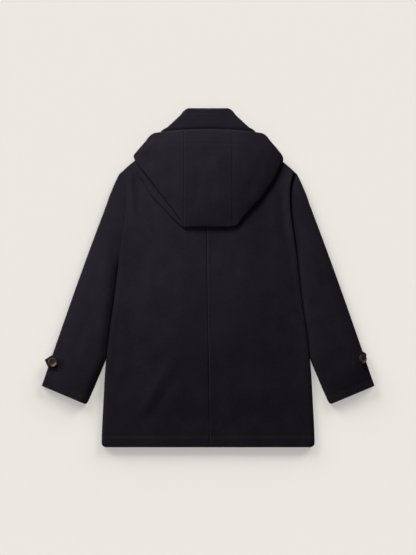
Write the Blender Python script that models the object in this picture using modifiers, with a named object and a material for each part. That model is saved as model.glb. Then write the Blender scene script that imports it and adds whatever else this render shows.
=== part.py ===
"""A duffle coat of thick wool cloth, laid flat on its front with its back up and its hood down the back.

Every cloth piece is one sheet: a grid extruded to two faces, which are placed between the piece's edges and
rolled over where the cloth folds. Lengths are in millimetres here and become metres when points are placed.
"""

import math

import bmesh
import bpy

MM = 0.001

# Cloth
CLOTH = 3.0              # wall of the shell cloth
HOOD_CLOTH = 3.6         # the hood is two plies, sewn together
TAB_CLOTH = 2.6
SEAM_GAP = 0.3           # pieces stop this far from each other
CURVED_SEAM_GAP = 1.0    # the same where a seam curves and its facets differ
LAYER_GAP = 3.9          # between the front and the back of a flattened tube
TUBE = 2 * CLOTH + LAYER_GAP
ROLL_STEPS = 3           # facets round a folded edge
ROLL_LIP = 1.0           # straight stretch that ends a folded edge

# Body, in plan: y runs from the hem to the neck, x out from the centre
HEM_Y = -439.4
SHOULDER_POINT = (223.0, 276.0)
ARMPIT_Y = 25.0
NECK_SIDE = (76.0, 366.0)
NECK_BACK_Y = 360.0
NECK_FRONT_Y = 262.0
OVERLAP = 30.0           # how far each front passes the centre
OVERLAP_EASE = (42.0, 68.0)   # the left front climbs onto the right one between these
ARMHOLE_TURN = math.radians(38)
FOLD_TURN = math.radians(90)

# The fastenings lift the middle of the coat off the surface
LIFT = 8.0
LIFT_FLAT_X = 60.0
LIFT_END_X = 205.0
LIFT_LOW_Y = (-290.0, -140.0)
LIFT_HIGH_Y = (340.0, 436.0)
LIFT_AT_COLLAR = 0.45

# Half-width of the body at each height: side from the hem up, then the armhole
BODY_EDGE = (
    # y, half_width
    (-439.4, 267.5),
    (-436.6, 273.5),
    (-429.0, 276.6),
    (-342.0, 273.0),
    (-225.0, 266.0),
    (-139.0, 256.0),
    (-69.0, 246.0),
    (25.0, 234.5),
    (90.0, 226.0),
    (146.0, 217.5),
    (190.0, 213.0),
    (235.0, 213.5),
    (276.0, 223.0),
)

# Rows of the body's grid from the hem up, and its columns out from the centre
CROWN_START = 0.66       # the rows are level up to here, and then follow the neck and shoulder
SHOULDER_CROWN = 17.0    # rise of the shoulder seam over a straight line
BODY_ROWS_Y = (
    -439.4, -436.6, -429.0, -350.0, -290.0, -252.0, -215.0, -178.0,
    -140.0, -50.0, 25.0, 90.0, 150.0, 200.0, 240.0, 276.0,
)
BODY_ALONG = [(y - HEM_Y) / (SHOULDER_POINT[1] - HEM_Y) for y in BODY_ROWS_Y]
NECK_COLUMNS = 6
NECK_ACROSS = [NECK_SIDE[0] / SHOULDER_POINT[0] * i / NECK_COLUMNS for i in range(NECK_COLUMNS + 1)]
BODY_ACROSS = NECK_ACROSS + [0.44, 0.56, 0.7, 0.85, 1]

# Outer fold of the sleeve, from its head down
SLEEVE_OUTER = (
    # x, y
    (232.0, 267.5),
    (240.0, 251.0),
    (256.5, 212.0),
    (262.5, 194.0),
    (308.5, 71.0),
    (356.0, -61.0),
    (432.0, -280.0),
)
SLEEVE_INNER_HEAD = (222.4, 271.0)
SLEEVE_LEAVES_BODY_Y = -209.0
SLEEVE_SIDE_GAP = 1.2    # between the body's side and the sleeve that lies beside it
SLEEVE_INNER_FREE = (
    # x, y
    (270.5, -225.0),
    (283.5, -256.0),
    (297.0, -288.0),
    (315.6, -329.0),
)

# Hood
HOOD_SEAM_X = 62.5
HOOD_FOOT_Y = 130.0
HOOD_RIM_Y = 384.5
HOOD_POUCH_GAP = 3.7
HOOD_UNDER_TOP_Y = 356.0
HOOD_UNDER_LOWER = 1.0
HOOD_CROWN = 1.2         # the middle of the hood stands this much higher
HOOD_CROWN_HALF_WIDTH = 190.0
HOOD_RIM_LOW_Y = (300.0, 375.0)
HOOD_RIM_DIP = 9.5
HOOD_RIM_END_X = 138.0
HOOD_OUTLINE = {
    # x, y out from the middle: the fold sits askew, higher on the left
    "right": (
        (75.0, 136.0),
        (86.0, 150.0),
        (106.0, 173.0),
        (139.0, 209.0),
        (169.0, 252.0),
        (184.0, 283.0),
        (193.0, 313.0),
        (183.0, 329.0),
        (163.0, 352.0),
        (150.0, 368.0),
        (138.0, 375.0),
    ),
    "left": (
        (67.5, 141.0),
        (76.0, 158.0),
        (100.0, 189.0),
        (120.0, 215.0),
        (140.0, 241.0),
        (162.0, 269.0),
        (183.0, 296.0),
        (193.0, 315.0),
        (183.0, 329.0),
        (163.0, 352.0),
        (150.0, 368.0),
        (138.0, 375.0),
    ),
}
HOOD_UNDER_OUTLINE = {
    # x, y out from the middle: it shows past the fold on the left
    "right": (
        (76.0, 134.0),
        (107.0, 171.0),
        (140.5, 207.0),
        (170.5, 250.0),
        (185.5, 281.0),
        (194.5, 311.0),
        (164.5, 351.0),
    ),
    "left": (
        (66.0, 133.0),
        (88.0, 152.0),
        (115.0, 181.0),
        (145.0, 212.0),
        (166.0, 247.0),
        (189.0, 295.0),
        (164.5, 351.0),
    ),
}

# Collar
COLLAR_FOLD_Y = 439.4
COLLAR_FOOT_Y = 367.0
COLLAR_SIDE = (
    # y, half_width
    (367.0, 124.0),
    (377.0, 124.0),
    (384.0, 118.0),
    (391.0, 106.0),
    (407.0, 88.0),
    (422.0, 72.0),
    (431.0, 65.0),
    (436.5, 58.5),
    (439.4, 52.0),
)
COLLAR_POINT = (52.0, 246.0)
COLLAR_FRONT_FOLD = (7.0, 334.0)
STAND_TOP_Y = 429.0
LEAF_RADIUS = 7.0        # roll of the leaf round the sides of the neck
COLLAR_FOLD_TURN = math.radians(60)
STAND_TOP_X = 52.0
STAND_TOP_BEND = 1.4

# Cuff tabs: place of the button, and how far the strap runs in and out from it
TABS = (
    # side, button_x, button_y, reach_in, reach_out
    ("left", -402.5, -218.7, 27.0, 22.0),
    ("right", 400.0, -209.6, 29.0, 12.0),
)
TAB_WIDTH = 33.5
TAB_POINT = {"left": 15.0, "right": 9.0}   # length of the pointed end
TAB_DIRECTION = math.radians(16.5)         # above the level, outwards
BUTTON_TILT = {"left": 0.0, "right": math.radians(18)}
BUTTON_SHANK = {"left": 0.4, "right": 3.0}   # thread under the button, which lets it lean
BUTTON_RADIUS = 12.0
BUTTON_THICK = 3.6

# Fastenings on the hidden front
TOGGLE_ROWS_Y = (205.0, 105.0, 5.0, -95.0)
TOGGLE_LENGTH = 50.0
TOGGLE_WIDTH = 13.0
TOGGLE_THICK = 7.0
CORD_RADIUS = 1.35
PATCH_NEAR_X = 52.0
PATCH_FAR_X = 96.0
PATCH_HALF_HEIGHT = 22.0
PATCH_ROUND = 9.0   # how far its outer corners are cut back
PATCH_THICK = 1.8

COLOURS = {
    # material: red, green, blue, roughness
    "wool": (0.012, 0.013, 0.021, 0.9),
    "horn_button": (0.060, 0.026, 0.014, 0.3),
    "horn_toggle": (0.085, 0.045, 0.022, 0.35),
    "leather": (0.020, 0.014, 0.012, 0.55),
    "cord": (0.015, 0.013, 0.014, 0.8),
}


# ---------------------------------------------------------------- numbers

def ease(value):
    """Smooth step from 0 to 1."""
    value = min(1.0, max(0.0, value))
    return value * value * (3 - 2 * value)


def mix(low, high, part):
    return low + (high - low) * part


def mix_points(start, end, part):
    return (mix(start[0], end[0], part), mix(start[1], end[1], part))


def smooth_value(rows, place):
    """Value of a two-column table at a place, on a smooth curve through its rows."""
    places = [row[0] for row in rows]
    values = [row[1] for row in rows]
    if place <= places[0]:
        return values[0]
    if place >= places[-1]:
        return values[-1]
    index = max(i for i in range(len(places) - 1) if places[i] <= place)
    span = places[index + 1] - places[index]
    part = (place - places[index]) / span

    def slope(i):
        before = max(0, i - 1)
        after = min(len(places) - 1, i + 1)
        return (values[after] - values[before]) / (places[after] - places[before])

    square = part * part
    cube = square * part
    return (
        (2 * cube - 3 * square + 1) * values[index]
        + (cube - 2 * square + part) * span * slope(index)
        + (3 * square - 2 * cube) * values[index + 1]
        + (cube - square) * span * slope(index + 1)
    )


def route(points):
    """A path through plan points: its part from 0 to 1 gives a point on it."""
    lengths = [0.0]
    for start, end in zip(points, points[1:]):
        lengths.append(lengths[-1] + math.dist(start, end))
    across = [(length / lengths[-1], point[0]) for length, point in zip(lengths, points)]
    upward = [(length / lengths[-1], point[1]) for length, point in zip(lengths, points)]
    return lambda part: (smooth_value(across, part), smooth_value(upward, part))


# ---------------------------------------------------------------- heights

def lift(x, y):
    """How far the fastenings hold the front off the surface at a place."""
    across = 1 - ease((abs(x) - LIFT_FLAT_X) / (LIFT_END_X - LIFT_FLAT_X))
    low, full = LIFT_LOW_Y
    start, end = LIFT_HIGH_Y
    along = ease((y - low) / (full - low))
    collar = mix(1.0, LIFT_AT_COLLAR, ease((y - start) / (end - start)))
    return LIFT * across * along * collar


def tube_top(x, y):
    """Top of the flattened body, sleeve and collar stand."""
    return lift(x, y) + TUBE


def hood_floor(x, y):
    """Outer face of the layer of the hood that lies on the back."""
    return tube_top(x, y) + CURVED_SEAM_GAP + CLOTH


def hood_top(x, y):
    """Outer face of the hood, a little lower at its rim, where it lies on the collar."""
    start, end = HOOD_RIM_LOW_Y
    rim = ease((y - start) / (end - start))
    middle = 1 - ease(abs(x) / HOOD_CROWN_HALF_WIDTH)
    loft = HOOD_POUCH_GAP + HOOD_CLOTH + HOOD_CROWN * middle * (1 - rim)
    return hood_floor(x, y) + loft


def leaf_top(x, y):
    """Outer face of the collar's leaf, which lies on its stand."""
    return tube_top(x, y) + CURVED_SEAM_GAP + CLOTH


# ---------------------------------------------------------------- one sheet of cloth

def rolled(step, turn, radius):
    """How far in from a folded edge a step of its roll lies, and how far over.

    Where the edge doesn't turn, the steps lie flat and evenly apart.
    """
    def reach(steps):
        angle = turn * min(steps, ROLL_STEPS) / ROLL_STEPS
        lip = ROLL_LIP * math.cos(turn) if steps > ROLL_STEPS else 0.0
        return mix(ROLL_LIP * steps, radius * math.sin(angle) + lip, turn / FOLD_TURN)

    angle = turn * min(step, ROLL_STEPS) / ROLL_STEPS
    drop = radius * (1 - math.cos(angle))
    if step > ROLL_STEPS:
        drop += ROLL_LIP * math.sin(turn)
    return reach(ROLL_STEPS + 1) - reach(step), drop


def stations(flats, roll_start=False, roll_end=False):
    """Lines of a grid one way: ("start", step), ("flat", part) and ("end", step)."""
    lines = []
    if roll_start:
        lines += [("start", step) for step in range(ROLL_STEPS + 1, 0, -1)]
    lines += [("flat", part) for part in flats]
    if roll_end:
        lines += [("end", step) for step in range(1, ROLL_STEPS + 2)]
    return lines


def settle(line, lines, length, start_turn, end_turn, radius):
    """Part of the way along a line of the grid, its drop, and its lean outwards from level."""
    kind, value = line
    start_width = rolled(0, start_turn, radius)[0] if lines[0][0] == "start" else 0.0
    end_width = rolled(0, end_turn, radius)[0] if lines[-1][0] == "end" else 0.0
    if kind == "flat":
        return mix(start_width, length - end_width, value) / length, 0.0, 0.0
    turn = start_turn if kind == "start" else end_turn
    inset, drop = rolled(value, turn, radius)
    lean = turn * min(value, ROLL_STEPS) / ROLL_STEPS
    if kind == "start":
        return inset / length, drop, -lean
    return 1 - inset / length, drop, lean


def even(count):
    return [i / count for i in range(count + 1)]


def no_turn(part):
    return 0.0


def fold(part):
    return FOLD_TURN


class Sheet:
    """The plan, height and folded edges of one piece of cloth."""

    def __init__(self, plan, height, side, radius, across, along, turns):
        self.plan = plan          # plan(across, along) gives x, y
        self.height = height      # height(x, y) of the outer face
        self.side = side          # 1 when the outer face looks up, -1 when it looks down
        self.radius = radius
        self.across = across
        self.along = along
        self.turns = turns        # turn of the edges: left, right, low, high

    def points(self, column, row, wall):
        """The outer and the inner point where two lines of the grid cross."""
        turn_left, turn_right, turn_low, turn_high = self.turns
        guess = {"start": 0.0, "end": 1.0}.get(column[0], column[1])
        foot, head = self.plan(guess, 0.0), self.plan(guess, 1.0)
        length = math.dist(foot, head)
        along, drop_along, lean_along = settle(
            row, self.along, length, turn_low(guess), turn_high(guess), self.radius)
        left, right = self.plan(0.0, along), self.plan(1.0, along)
        width = math.dist(left, right)
        across, drop_across, lean_across = settle(
            column, self.across, width, turn_left(along), turn_right(along), self.radius)
        x, y = self.plan(across, along)
        z = self.height(x, y) - self.side * max(drop_along, drop_across)
        side_step = wall * math.sin(lean_across) / width
        end_step = wall * math.sin(lean_along) / length
        inner_x = x - side_step * (right[0] - left[0]) - end_step * (head[0] - foot[0])
        inner_y = y - side_step * (right[1] - left[1]) - end_step * (head[1] - foot[1])
        steepest = max(abs(lean_across), abs(lean_along))
        inner_z = z - self.side * wall * math.cos(steepest)
        return (x, y, z), (inner_x, inner_y, inner_z)


def new_object(name, mesh, material):
    piece = bpy.data.objects.new(name, mesh)
    mesh.materials.clear()
    mesh.materials.append(material)
    bpy.data.collections["duffle_coat"].objects.link(piece)
    return piece


def sheet_piece(name, sheet, wall, material, mirror=False):
    """One closed solid: a grid is extruded to two faces, which are placed as the outer and inner side."""
    columns = len(sheet.across) - 1
    rows = len(sheet.along) - 1
    mesh = bpy.data.meshes.new(name)
    grid = bmesh.new()
    bmesh.ops.create_grid(grid, x_segments=columns, y_segments=rows, size=1)
    outer_side = set(grid.verts)
    bmesh.ops.extrude_face_region(grid, geom=list(grid.faces))
    for vertex in grid.verts:
        column = round((vertex.co.x + 1) / 2 * columns)
        row = round((vertex.co.y + 1) / 2 * rows)
        outer, inner = sheet.points(sheet.across[column], sheet.along[row], wall)
        x, y, z = outer if vertex in outer_side else inner
        vertex.co = ((-x if mirror else x) * MM, y * MM, z * MM)
    bmesh.ops.recalc_face_normals(grid, faces=grid.faces)
    grid.to_mesh(mesh)
    grid.free()
    return new_object(name, mesh, material)


# ---------------------------------------------------------------- body

def body_edge(y):
    return smooth_value(BODY_EDGE, y)


def body_turn(along):
    """The side is a fold. The armhole only dips to its seam."""
    y = mix(HEM_Y, SHOULDER_POINT[1], along)
    return mix(FOLD_TURN, ARMHOLE_TURN, ease((y - ARMPIT_Y + 20) / 40.0))


def neck_side_part():
    return NECK_SIDE[0] / SHOULDER_POINT[0]


def shoulder_turn(part):
    """The neck is open and the shoulder seam is a fold."""
    return FOLD_TURN * ease((part - neck_side_part() - 0.01) / 0.08)


def top_line(part, neck_y):
    """Neckline, then shoulder, from the centre out to the shoulder point."""
    neck = neck_side_part()
    if part < neck:
        return mix(neck_y, NECK_SIDE[1], (part / neck) ** 2)
    out = (part - neck) / (1 - neck)
    straight = mix(NECK_SIDE[1], SHOULDER_POINT[1], out)
    return straight + SHOULDER_CROWN * math.sin(math.pi * out) * out


def body_plan(start_x, neck_y):
    """Plan of a half body. Its rows are level up to the armpit and then follow the neck and shoulder."""
    start_part = start_x / SHOULDER_POINT[0]

    def plan(across, along):
        edge_y = mix(HEM_Y, SHOULDER_POINT[1], along)
        part = mix(start_part, 1.0, across)
        x = part * body_edge(edge_y) if part > 0 else part * SHOULDER_POINT[0]
        crown = top_line(max(0.0, part), neck_y) - SHOULDER_POINT[1]
        return x, edge_y + crown * ease((along - CROWN_START) / (1 - CROWN_START))
    return plan


def back_panel(side, wool):
    sheet = Sheet(
        body_plan(SEAM_GAP / 2, NECK_BACK_Y),
        tube_top,
        1,
        TUBE / 2 - SEAM_GAP / 2 - ROLL_LIP,
        stations(BODY_ACROSS, roll_end=True),
        stations(BODY_ALONG, roll_end=True),
        (no_turn, body_turn, no_turn, shoulder_turn),
    )
    return sheet_piece(f"back_{side}", sheet, CLOTH, wool, mirror=side == "left")


def front_panel(side, wool):
    """The right front lies next to the surface. The left one climbs onto it at the overlap."""
    climbs = side == "left"

    def height(x, y):
        start, end = OVERLAP_EASE
        onto = 1 - ease((x - start) / (end - start)) if climbs else 0.0
        return lift(x, y) + (CLOTH + SEAM_GAP) * onto

    reach = OVERLAP / SHOULDER_POINT[0]
    spread = [(part + reach) / (1 + reach) for part in [-reach] + BODY_ACROSS]
    sheet = Sheet(
        body_plan(-OVERLAP, NECK_FRONT_Y),
        height,
        -1,
        TUBE / 2 - SEAM_GAP / 2 - ROLL_LIP,
        stations(spread, roll_end=True),
        stations(BODY_ALONG, roll_end=True),
        (no_turn, body_turn, no_turn, lambda part: shoulder_turn(part * (1 + reach) - reach)),
    )
    return sheet_piece(f"front_{side}", sheet, CLOTH, wool, mirror=side == "left")


# ---------------------------------------------------------------- sleeves

def sleeve_paths():
    armhole = [SLEEVE_INNER_HEAD]
    for y in (235.0, 190.0, 146.0, 90.0, 25.0, -69.0, -139.0, SLEEVE_LEAVES_BODY_Y):
        gap = mix(SLEEVE_SIDE_GAP, CURVED_SEAM_GAP, ease((y - ARMPIT_Y + 40) / 40.0))
        armhole.append((body_edge(y) + gap, y))
    return route(armhole + list(SLEEVE_INNER_FREE)), route(SLEEVE_OUTER)


def sleeve_panel(level, side, wool):
    inner, outer = sleeve_paths()

    def inner_turn(along):
        y = inner(along)[1]
        return mix(FOLD_TURN, ARMHOLE_TURN, ease((y - ARMPIT_Y + 20) / 40.0))

    top = level == "top"
    sheet = Sheet(
        lambda across, along: mix_points(inner(1 - along), outer(1 - along), across),
        (lambda x, y: TUBE) if top else (lambda x, y: 0.0),
        1 if top else -1,
        TUBE / 2 - SEAM_GAP / 2 - ROLL_LIP,
        stations(even(4), roll_start=True, roll_end=True),
        stations(even(13)),
        (lambda along: inner_turn(1 - along), fold, no_turn, no_turn),
    )
    return sheet_piece(f"sleeve_{level}_{side}", sheet, CLOTH, wool, mirror=side == "left")


# ---------------------------------------------------------------- hood

def hood_radius():
    return HOOD_POUCH_GAP + HOOD_CLOTH - CURVED_SEAM_GAP - ROLL_LIP


def rim_y(x):
    """The rim dips towards its ends."""
    return HOOD_RIM_Y - HOOD_RIM_DIP * (abs(x) / HOOD_RIM_END_X) ** 2


def hood_centre(wool):
    half = HOOD_SEAM_X - SEAM_GAP / 2

    def plan(across, along):
        x = mix(-half, half, across)
        return x, mix(HOOD_FOOT_Y, rim_y(x), along)

    sheet = Sheet(plan, hood_top, 1, hood_radius(), stations(even(4)), stations(even(7), roll_start=True),
                  (no_turn, no_turn, fold, no_turn))
    return sheet_piece("hood_centre", sheet, HOOD_CLOTH, wool)


def hood_side(side, wool):
    seam_x = HOOD_SEAM_X + SEAM_GAP / 2
    edge = route(HOOD_OUTLINE[side])

    def plan(across, along):
        start = (seam_x, mix(HOOD_FOOT_Y + 0.4, rim_y(seam_x), along))
        x, y = mix_points(start, edge(along), across)
        if along > 1 - 1e-6:
            y = rim_y(x)
        return x, y

    sheet = Sheet(plan, hood_top, 1, hood_radius(), stations(even(5), roll_end=True),
                  stations(even(9), roll_start=True), (no_turn, fold, fold, no_turn))
    return sheet_piece(f"hood_side_{side}", sheet, HOOD_CLOTH, wool, mirror=side == "left")


def hood_under(wool):
    """The layer of the hood that lies on the back, and shows past the fold low on the left."""
    right_edge = route(HOOD_UNDER_OUTLINE["right"])
    left_edge = route(HOOD_UNDER_OUTLINE["left"])

    def plan(across, along):
        right_x, right_y = right_edge(along)
        left_x, left_y = left_edge(along)
        level = mix(HOOD_FOOT_Y, HOOD_UNDER_TOP_Y, along) - HOOD_UNDER_LOWER
        toward_left = max(0.0, 1 - 2 * across) ** 2
        toward_right = max(0.0, 2 * across - 1) ** 2
        y = level + (left_y - level) * toward_left + (right_y - level) * toward_right
        return mix(-left_x, right_x, across), y

    sheet = Sheet(plan, hood_floor, 1, 1.0, stations(even(10)), stations(even(8)),
                  (no_turn, no_turn, no_turn, no_turn))
    return sheet_piece("hood_under", sheet, CLOTH, wool)


# ---------------------------------------------------------------- collar

def collar_side(y):
    return smooth_value(COLLAR_SIDE, y)


def collar_leaf_back(wool):
    def plan(across, along):
        y = mix(COLLAR_FOOT_Y, COLLAR_FOLD_Y, along)
        half = collar_side(y)
        return mix(-half, half, across), y

    sheet = Sheet(plan, leaf_top, 1, LEAF_RADIUS, stations(even(7), roll_start=True, roll_end=True),
                  stations(even(5), roll_end=True), (fold, fold, no_turn, lambda part: COLLAR_FOLD_TURN))
    return sheet_piece("collar_leaf_back", sheet, CLOTH, wool)


def collar_leaf_front(side, wool):
    """A front stretch of the leaf, turned down onto the front panel, next to the surface."""
    def plan(across, along):
        y = mix(COLLAR_FOOT_Y, COLLAR_FOLD_Y - 3, along)
        start = mix_points(COLLAR_POINT, COLLAR_FRONT_FOLD, along)
        return mix_points(start, (collar_side(y), y), across)

    sheet = Sheet(plan, lambda x, y: 0.0, -1, LEAF_RADIUS, stations(even(4), roll_end=True), stations(even(5)),
                  (no_turn, fold, no_turn, no_turn))
    return sheet_piece(f"collar_leaf_{side}", sheet, CLOTH, wool, mirror=side == "left")


def collar_stand_back(wool):
    def plan(across, along):
        half = mix(NECK_SIDE[0], STAND_TOP_X, along)
        x = mix(-half, half, across)
        foot = mix(NECK_BACK_Y, NECK_SIDE[1], (x / NECK_SIDE[0]) ** 2) + CURVED_SEAM_GAP
        return x, mix(foot, STAND_TOP_Y, along)

    sheet = Sheet(plan, tube_top, 1, TUBE / 2 - SEAM_GAP / 2 - ROLL_LIP,
                  stations(even(6), roll_start=True, roll_end=True), stations(even(4)),
                  (fold, fold, no_turn, no_turn))
    return sheet_piece("collar_stand_back", sheet, CLOTH, wool)


def collar_stand_front(side, wool):
    def plan(across, along):
        x = across * mix(NECK_SIDE[0], STAND_TOP_X, along) + SEAM_GAP
        foot = mix(NECK_FRONT_Y, NECK_SIDE[1], across ** 2) + CURVED_SEAM_GAP
        top = mix(COLLAR_FRONT_FOLD[1], STAND_TOP_Y, across ** STAND_TOP_BEND)
        return x, mix(foot, top, along)

    sheet = Sheet(plan, lift, -1, TUBE / 2 - SEAM_GAP / 2 - ROLL_LIP,
                  stations(even(6), roll_end=True), stations(even(4)), (no_turn, fold, no_turn, no_turn))
    return sheet_piece(f"collar_stand_{side}", sheet, CLOTH, wool, mirror=side == "left")


# ---------------------------------------------------------------- cuff tabs and buttons

def outwards(side):
    sign = 1 if side == "right" else -1
    return sign * math.cos(TAB_DIRECTION), math.sin(TAB_DIRECTION)


def cuff_tab(side, button_x, button_y, reach_in, reach_out, wool):
    """A pointed strap across the sleeve."""
    out = outwards(side)

    def plan(across, along):
        level = 1 - across * 2
        ahead = mix(-reach_in, reach_out - TAB_POINT[side] * abs(level), along)
        aside = level * TAB_WIDTH / 2
        return button_x + out[0] * ahead - out[1] * aside, button_y + out[1] * ahead + out[0] * aside

    sheet = Sheet(plan, lambda x, y: TUBE + SEAM_GAP + TAB_CLOTH, 1, 1.0,
                  stations(even(4)), stations(even(3)), (no_turn, no_turn, no_turn, no_turn))
    return sheet_piece(f"cuff_tab_{side}", sheet, TAB_CLOTH, wool)


def turned(name, profile, material, steps=24):
    """A round solid: a profile of radius and height, top to bottom, turned about the Z axis."""
    mesh = bpy.data.meshes.new(name)
    outline = bmesh.new()
    ring = [outline.verts.new((radius * MM, 0, height * MM)) for radius, height in profile]
    for start, end in zip(ring, ring[1:]):
        outline.edges.new((start, end))
    outline.to_mesh(mesh)
    outline.free()
    piece = new_object(name, mesh, material)
    turn = piece.modifiers.new("turn", "SCREW")
    turn.steps = steps
    turn.render_steps = steps
    turn.use_merge_vertices = True
    turn.merge_threshold = 0.00001
    turn.use_smooth_shade = True
    return piece


def cuff_button(side, button_x, button_y, horn):
    """A turned button with a raised rim and a sunk middle, leaning over the strap where that curls."""
    profile = (
        (0.0, BUTTON_THICK - 1.0),
        (7.0, BUTTON_THICK - 1.0),
        (8.5, BUTTON_THICK),
        (10.8, BUTTON_THICK),
        (BUTTON_RADIUS, BUTTON_THICK - 1.1),
        (BUTTON_RADIUS - 0.8, 1.0),
        (8.0, 0.0),
        (0.0, 0.0),
    )
    piece = turned(f"cuff_button_{side}", profile, horn)
    out = outwards(side)
    piece.rotation_mode = "AXIS_ANGLE"
    piece.rotation_axis_angle = (BUTTON_TILT[side], -out[1], out[0], 0)
    top_of_tab = TUBE + SEAM_GAP + TAB_CLOTH
    piece.location = (button_x * MM, button_y * MM, (top_of_tab + BUTTON_SHANK[side]) * MM)
    return piece


# ---------------------------------------------------------------- fastenings

def toggle(number, y, horn):
    """A flat horn toggle with a waist that its loops lie in."""
    half = TOGGLE_LENGTH / 2
    profile = (
        (0.0, half),
        (1.4, half),
        (2.7, half - 2.0),
        (3.5, half - 11.0),
        (3.1, half - 17.5),
        (1.25, half - 20.5),
    )
    below = [(radius, -height) for radius, height in reversed(profile)]
    piece = turned(f"toggle_{number}", list(profile) + below, horn, steps=16)
    scale_width = TOGGLE_WIDTH / TOGGLE_THICK
    piece.rotation_euler = (0, math.radians(90), 0)
    piece.location = (0, y * MM, TOGGLE_THICK / 2 * MM)
    piece.scale = (1, scale_width, 1)
    return piece


def toggle_patch(side, number, row_y, leather):
    """A leather patch with a rounded outer end, sewn under the front's face."""
    def plan(across, along):
        level = across * 2 - 1
        far = PATCH_FAR_X - PATCH_ROUND * abs(level) ** 3
        return mix(PATCH_NEAR_X, far, along), row_y - level * PATCH_HALF_HEIGHT

    def height(x, y):
        return lift(x, y) - CURVED_SEAM_GAP - PATCH_THICK

    sheet = Sheet(plan, height, -1, 1.0, stations(even(4)), stations(even(2)),
                  (no_turn, no_turn, no_turn, no_turn))
    return sheet_piece(f"toggle_patch_{side}_{number}", sheet, PATCH_THICK, leather, mirror=side == "left")


LOOP_ROUTE = (
    # out, aside
    (51.5, 4.0),
    (46.0, 5.2),
    (38.0, 7.6),
    (28.0, 8.9),
    (10.0, 8.9),
    (4.6, 7.6),
    (2.3, 4.6),
    (1.75, 0.0),
)


def toggle_loop(side, number, row_y, cord):
    """A doubled cord from its patch round the toggle's waist."""
    sign = 1 if side == "right" else -1
    back = [(out, -aside) for out, aside in reversed(LOOP_ROUTE[:-1])]
    points = list(LOOP_ROUTE) + back
    curve = bpy.data.curves.new(f"toggle_loop_{side}_{number}", "CURVE")
    curve.dimensions = "3D"
    spline = curve.splines.new("POLY")
    spline.points.add(len(points) - 1)
    for point, (out, aside) in zip(spline.points, points):
        z = lift(out, row_y + aside) - SEAM_GAP - CORD_RADIUS
        point.co = (sign * out * MM, (row_y + aside) * MM, z * MM, 1)
    curve.bevel_depth = CORD_RADIUS * MM
    curve.bevel_resolution = 2
    curve.use_fill_caps = True
    curve.materials.append(cord)
    piece = bpy.data.objects.new(curve.name, curve)
    bpy.data.collections["duffle_coat"].objects.link(piece)
    return piece


# ---------------------------------------------------------------- the coat

def make_material(name):
    red, green, blue, roughness = COLOURS[name]
    material = bpy.data.materials.new(name)
    material.use_nodes = True
    shader = material.node_tree.nodes["Principled BSDF"]
    shader.inputs["Base Color"].default_value = (red, green, blue, 1)
    shader.inputs["Roughness"].default_value = roughness
    shader.inputs["Metallic"].default_value = 0.0
    return material


def clear_scene():
    for thing in list(bpy.data.objects):
        bpy.data.objects.remove(thing, do_unlink=True)
    coat = bpy.data.collections.new("duffle_coat")
    bpy.context.scene.collection.children.link(coat)


def build_coat():
    clear_scene()
    materials = {name: make_material(name) for name in COLOURS}
    wool = materials["wool"]
    for side in ("left", "right"):
        back_panel(side, wool)
        front_panel(side, wool)
        sleeve_panel("top", side, wool)
        sleeve_panel("under", side, wool)
        hood_side(side, wool)
        collar_leaf_front(side, wool)
        collar_stand_front(side, wool)
    hood_centre(wool)
    hood_under(wool)
    collar_leaf_back(wool)
    collar_stand_back(wool)
    for side, button_x, button_y, reach_in, reach_out in TABS:
        cuff_tab(side, button_x, button_y, reach_in, reach_out, wool)
        cuff_button(side, button_x, button_y, materials["horn_button"])
    for number, row_y in enumerate(TOGGLE_ROWS_Y, start=1):
        toggle(number, row_y, materials["horn_toggle"])
        for side in ("left", "right"):
            toggle_patch(side, number, row_y, materials["leather"])
            toggle_loop(side, number, row_y, materials["cord"])


build_coat()
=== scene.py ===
import math

import bmesh
import bpy
import numpy as np
from mathutils import Matrix, Vector


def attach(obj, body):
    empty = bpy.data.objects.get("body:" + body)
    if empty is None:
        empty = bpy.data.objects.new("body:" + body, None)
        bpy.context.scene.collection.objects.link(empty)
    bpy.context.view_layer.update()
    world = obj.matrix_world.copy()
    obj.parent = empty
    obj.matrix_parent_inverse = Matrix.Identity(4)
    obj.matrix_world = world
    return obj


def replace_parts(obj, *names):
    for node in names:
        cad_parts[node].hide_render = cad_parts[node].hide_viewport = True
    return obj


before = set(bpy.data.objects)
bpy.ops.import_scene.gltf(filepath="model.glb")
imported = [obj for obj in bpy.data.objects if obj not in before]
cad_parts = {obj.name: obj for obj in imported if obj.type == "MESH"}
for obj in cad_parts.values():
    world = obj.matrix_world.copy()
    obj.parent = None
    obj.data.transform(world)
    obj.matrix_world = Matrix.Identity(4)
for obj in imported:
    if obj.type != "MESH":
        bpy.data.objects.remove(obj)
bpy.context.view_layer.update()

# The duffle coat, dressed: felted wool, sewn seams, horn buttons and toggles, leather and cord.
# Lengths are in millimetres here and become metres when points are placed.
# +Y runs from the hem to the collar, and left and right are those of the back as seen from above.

MM = 0.001

# ---------------------------------------------------------------- sizes
# They are those of the part's source, but the seams lie closer here and the buttons lean more.

SIDES = ("left", "right")
CLOTH = 3.0
HOOD_CLOTH = 3.6
TAB_CLOTH = 2.6
SEAM_GAP = 0.1
CURVED_SEAM_GAP = 1.0
TUBE = 9.9               # the body and the sleeves, from their lower face to their upper one
FOLD_TURN = math.radians(90)
SEAM_TURN = math.radians(38)
ARMHOLE_TURN = {"left": math.radians(10), "right": math.radians(45)}
COLLAR_FOLD_TURN = math.radians(60)

HEM_Y = -439.4
SHOULDER_POINT = (223.0, 276.0)
SHOULDER_CROWN = 17.0
ARMPIT_Y = 25.0
NECK_SIDE = (76.0, 366.0)
NECK_BACK_Y = 360.0
NECK_FRONT_Y = 262.0
CROWN_START = 0.66
OVERLAP = 30.0
OVERLAP_EASE = (42.0, 68.0)

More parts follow.
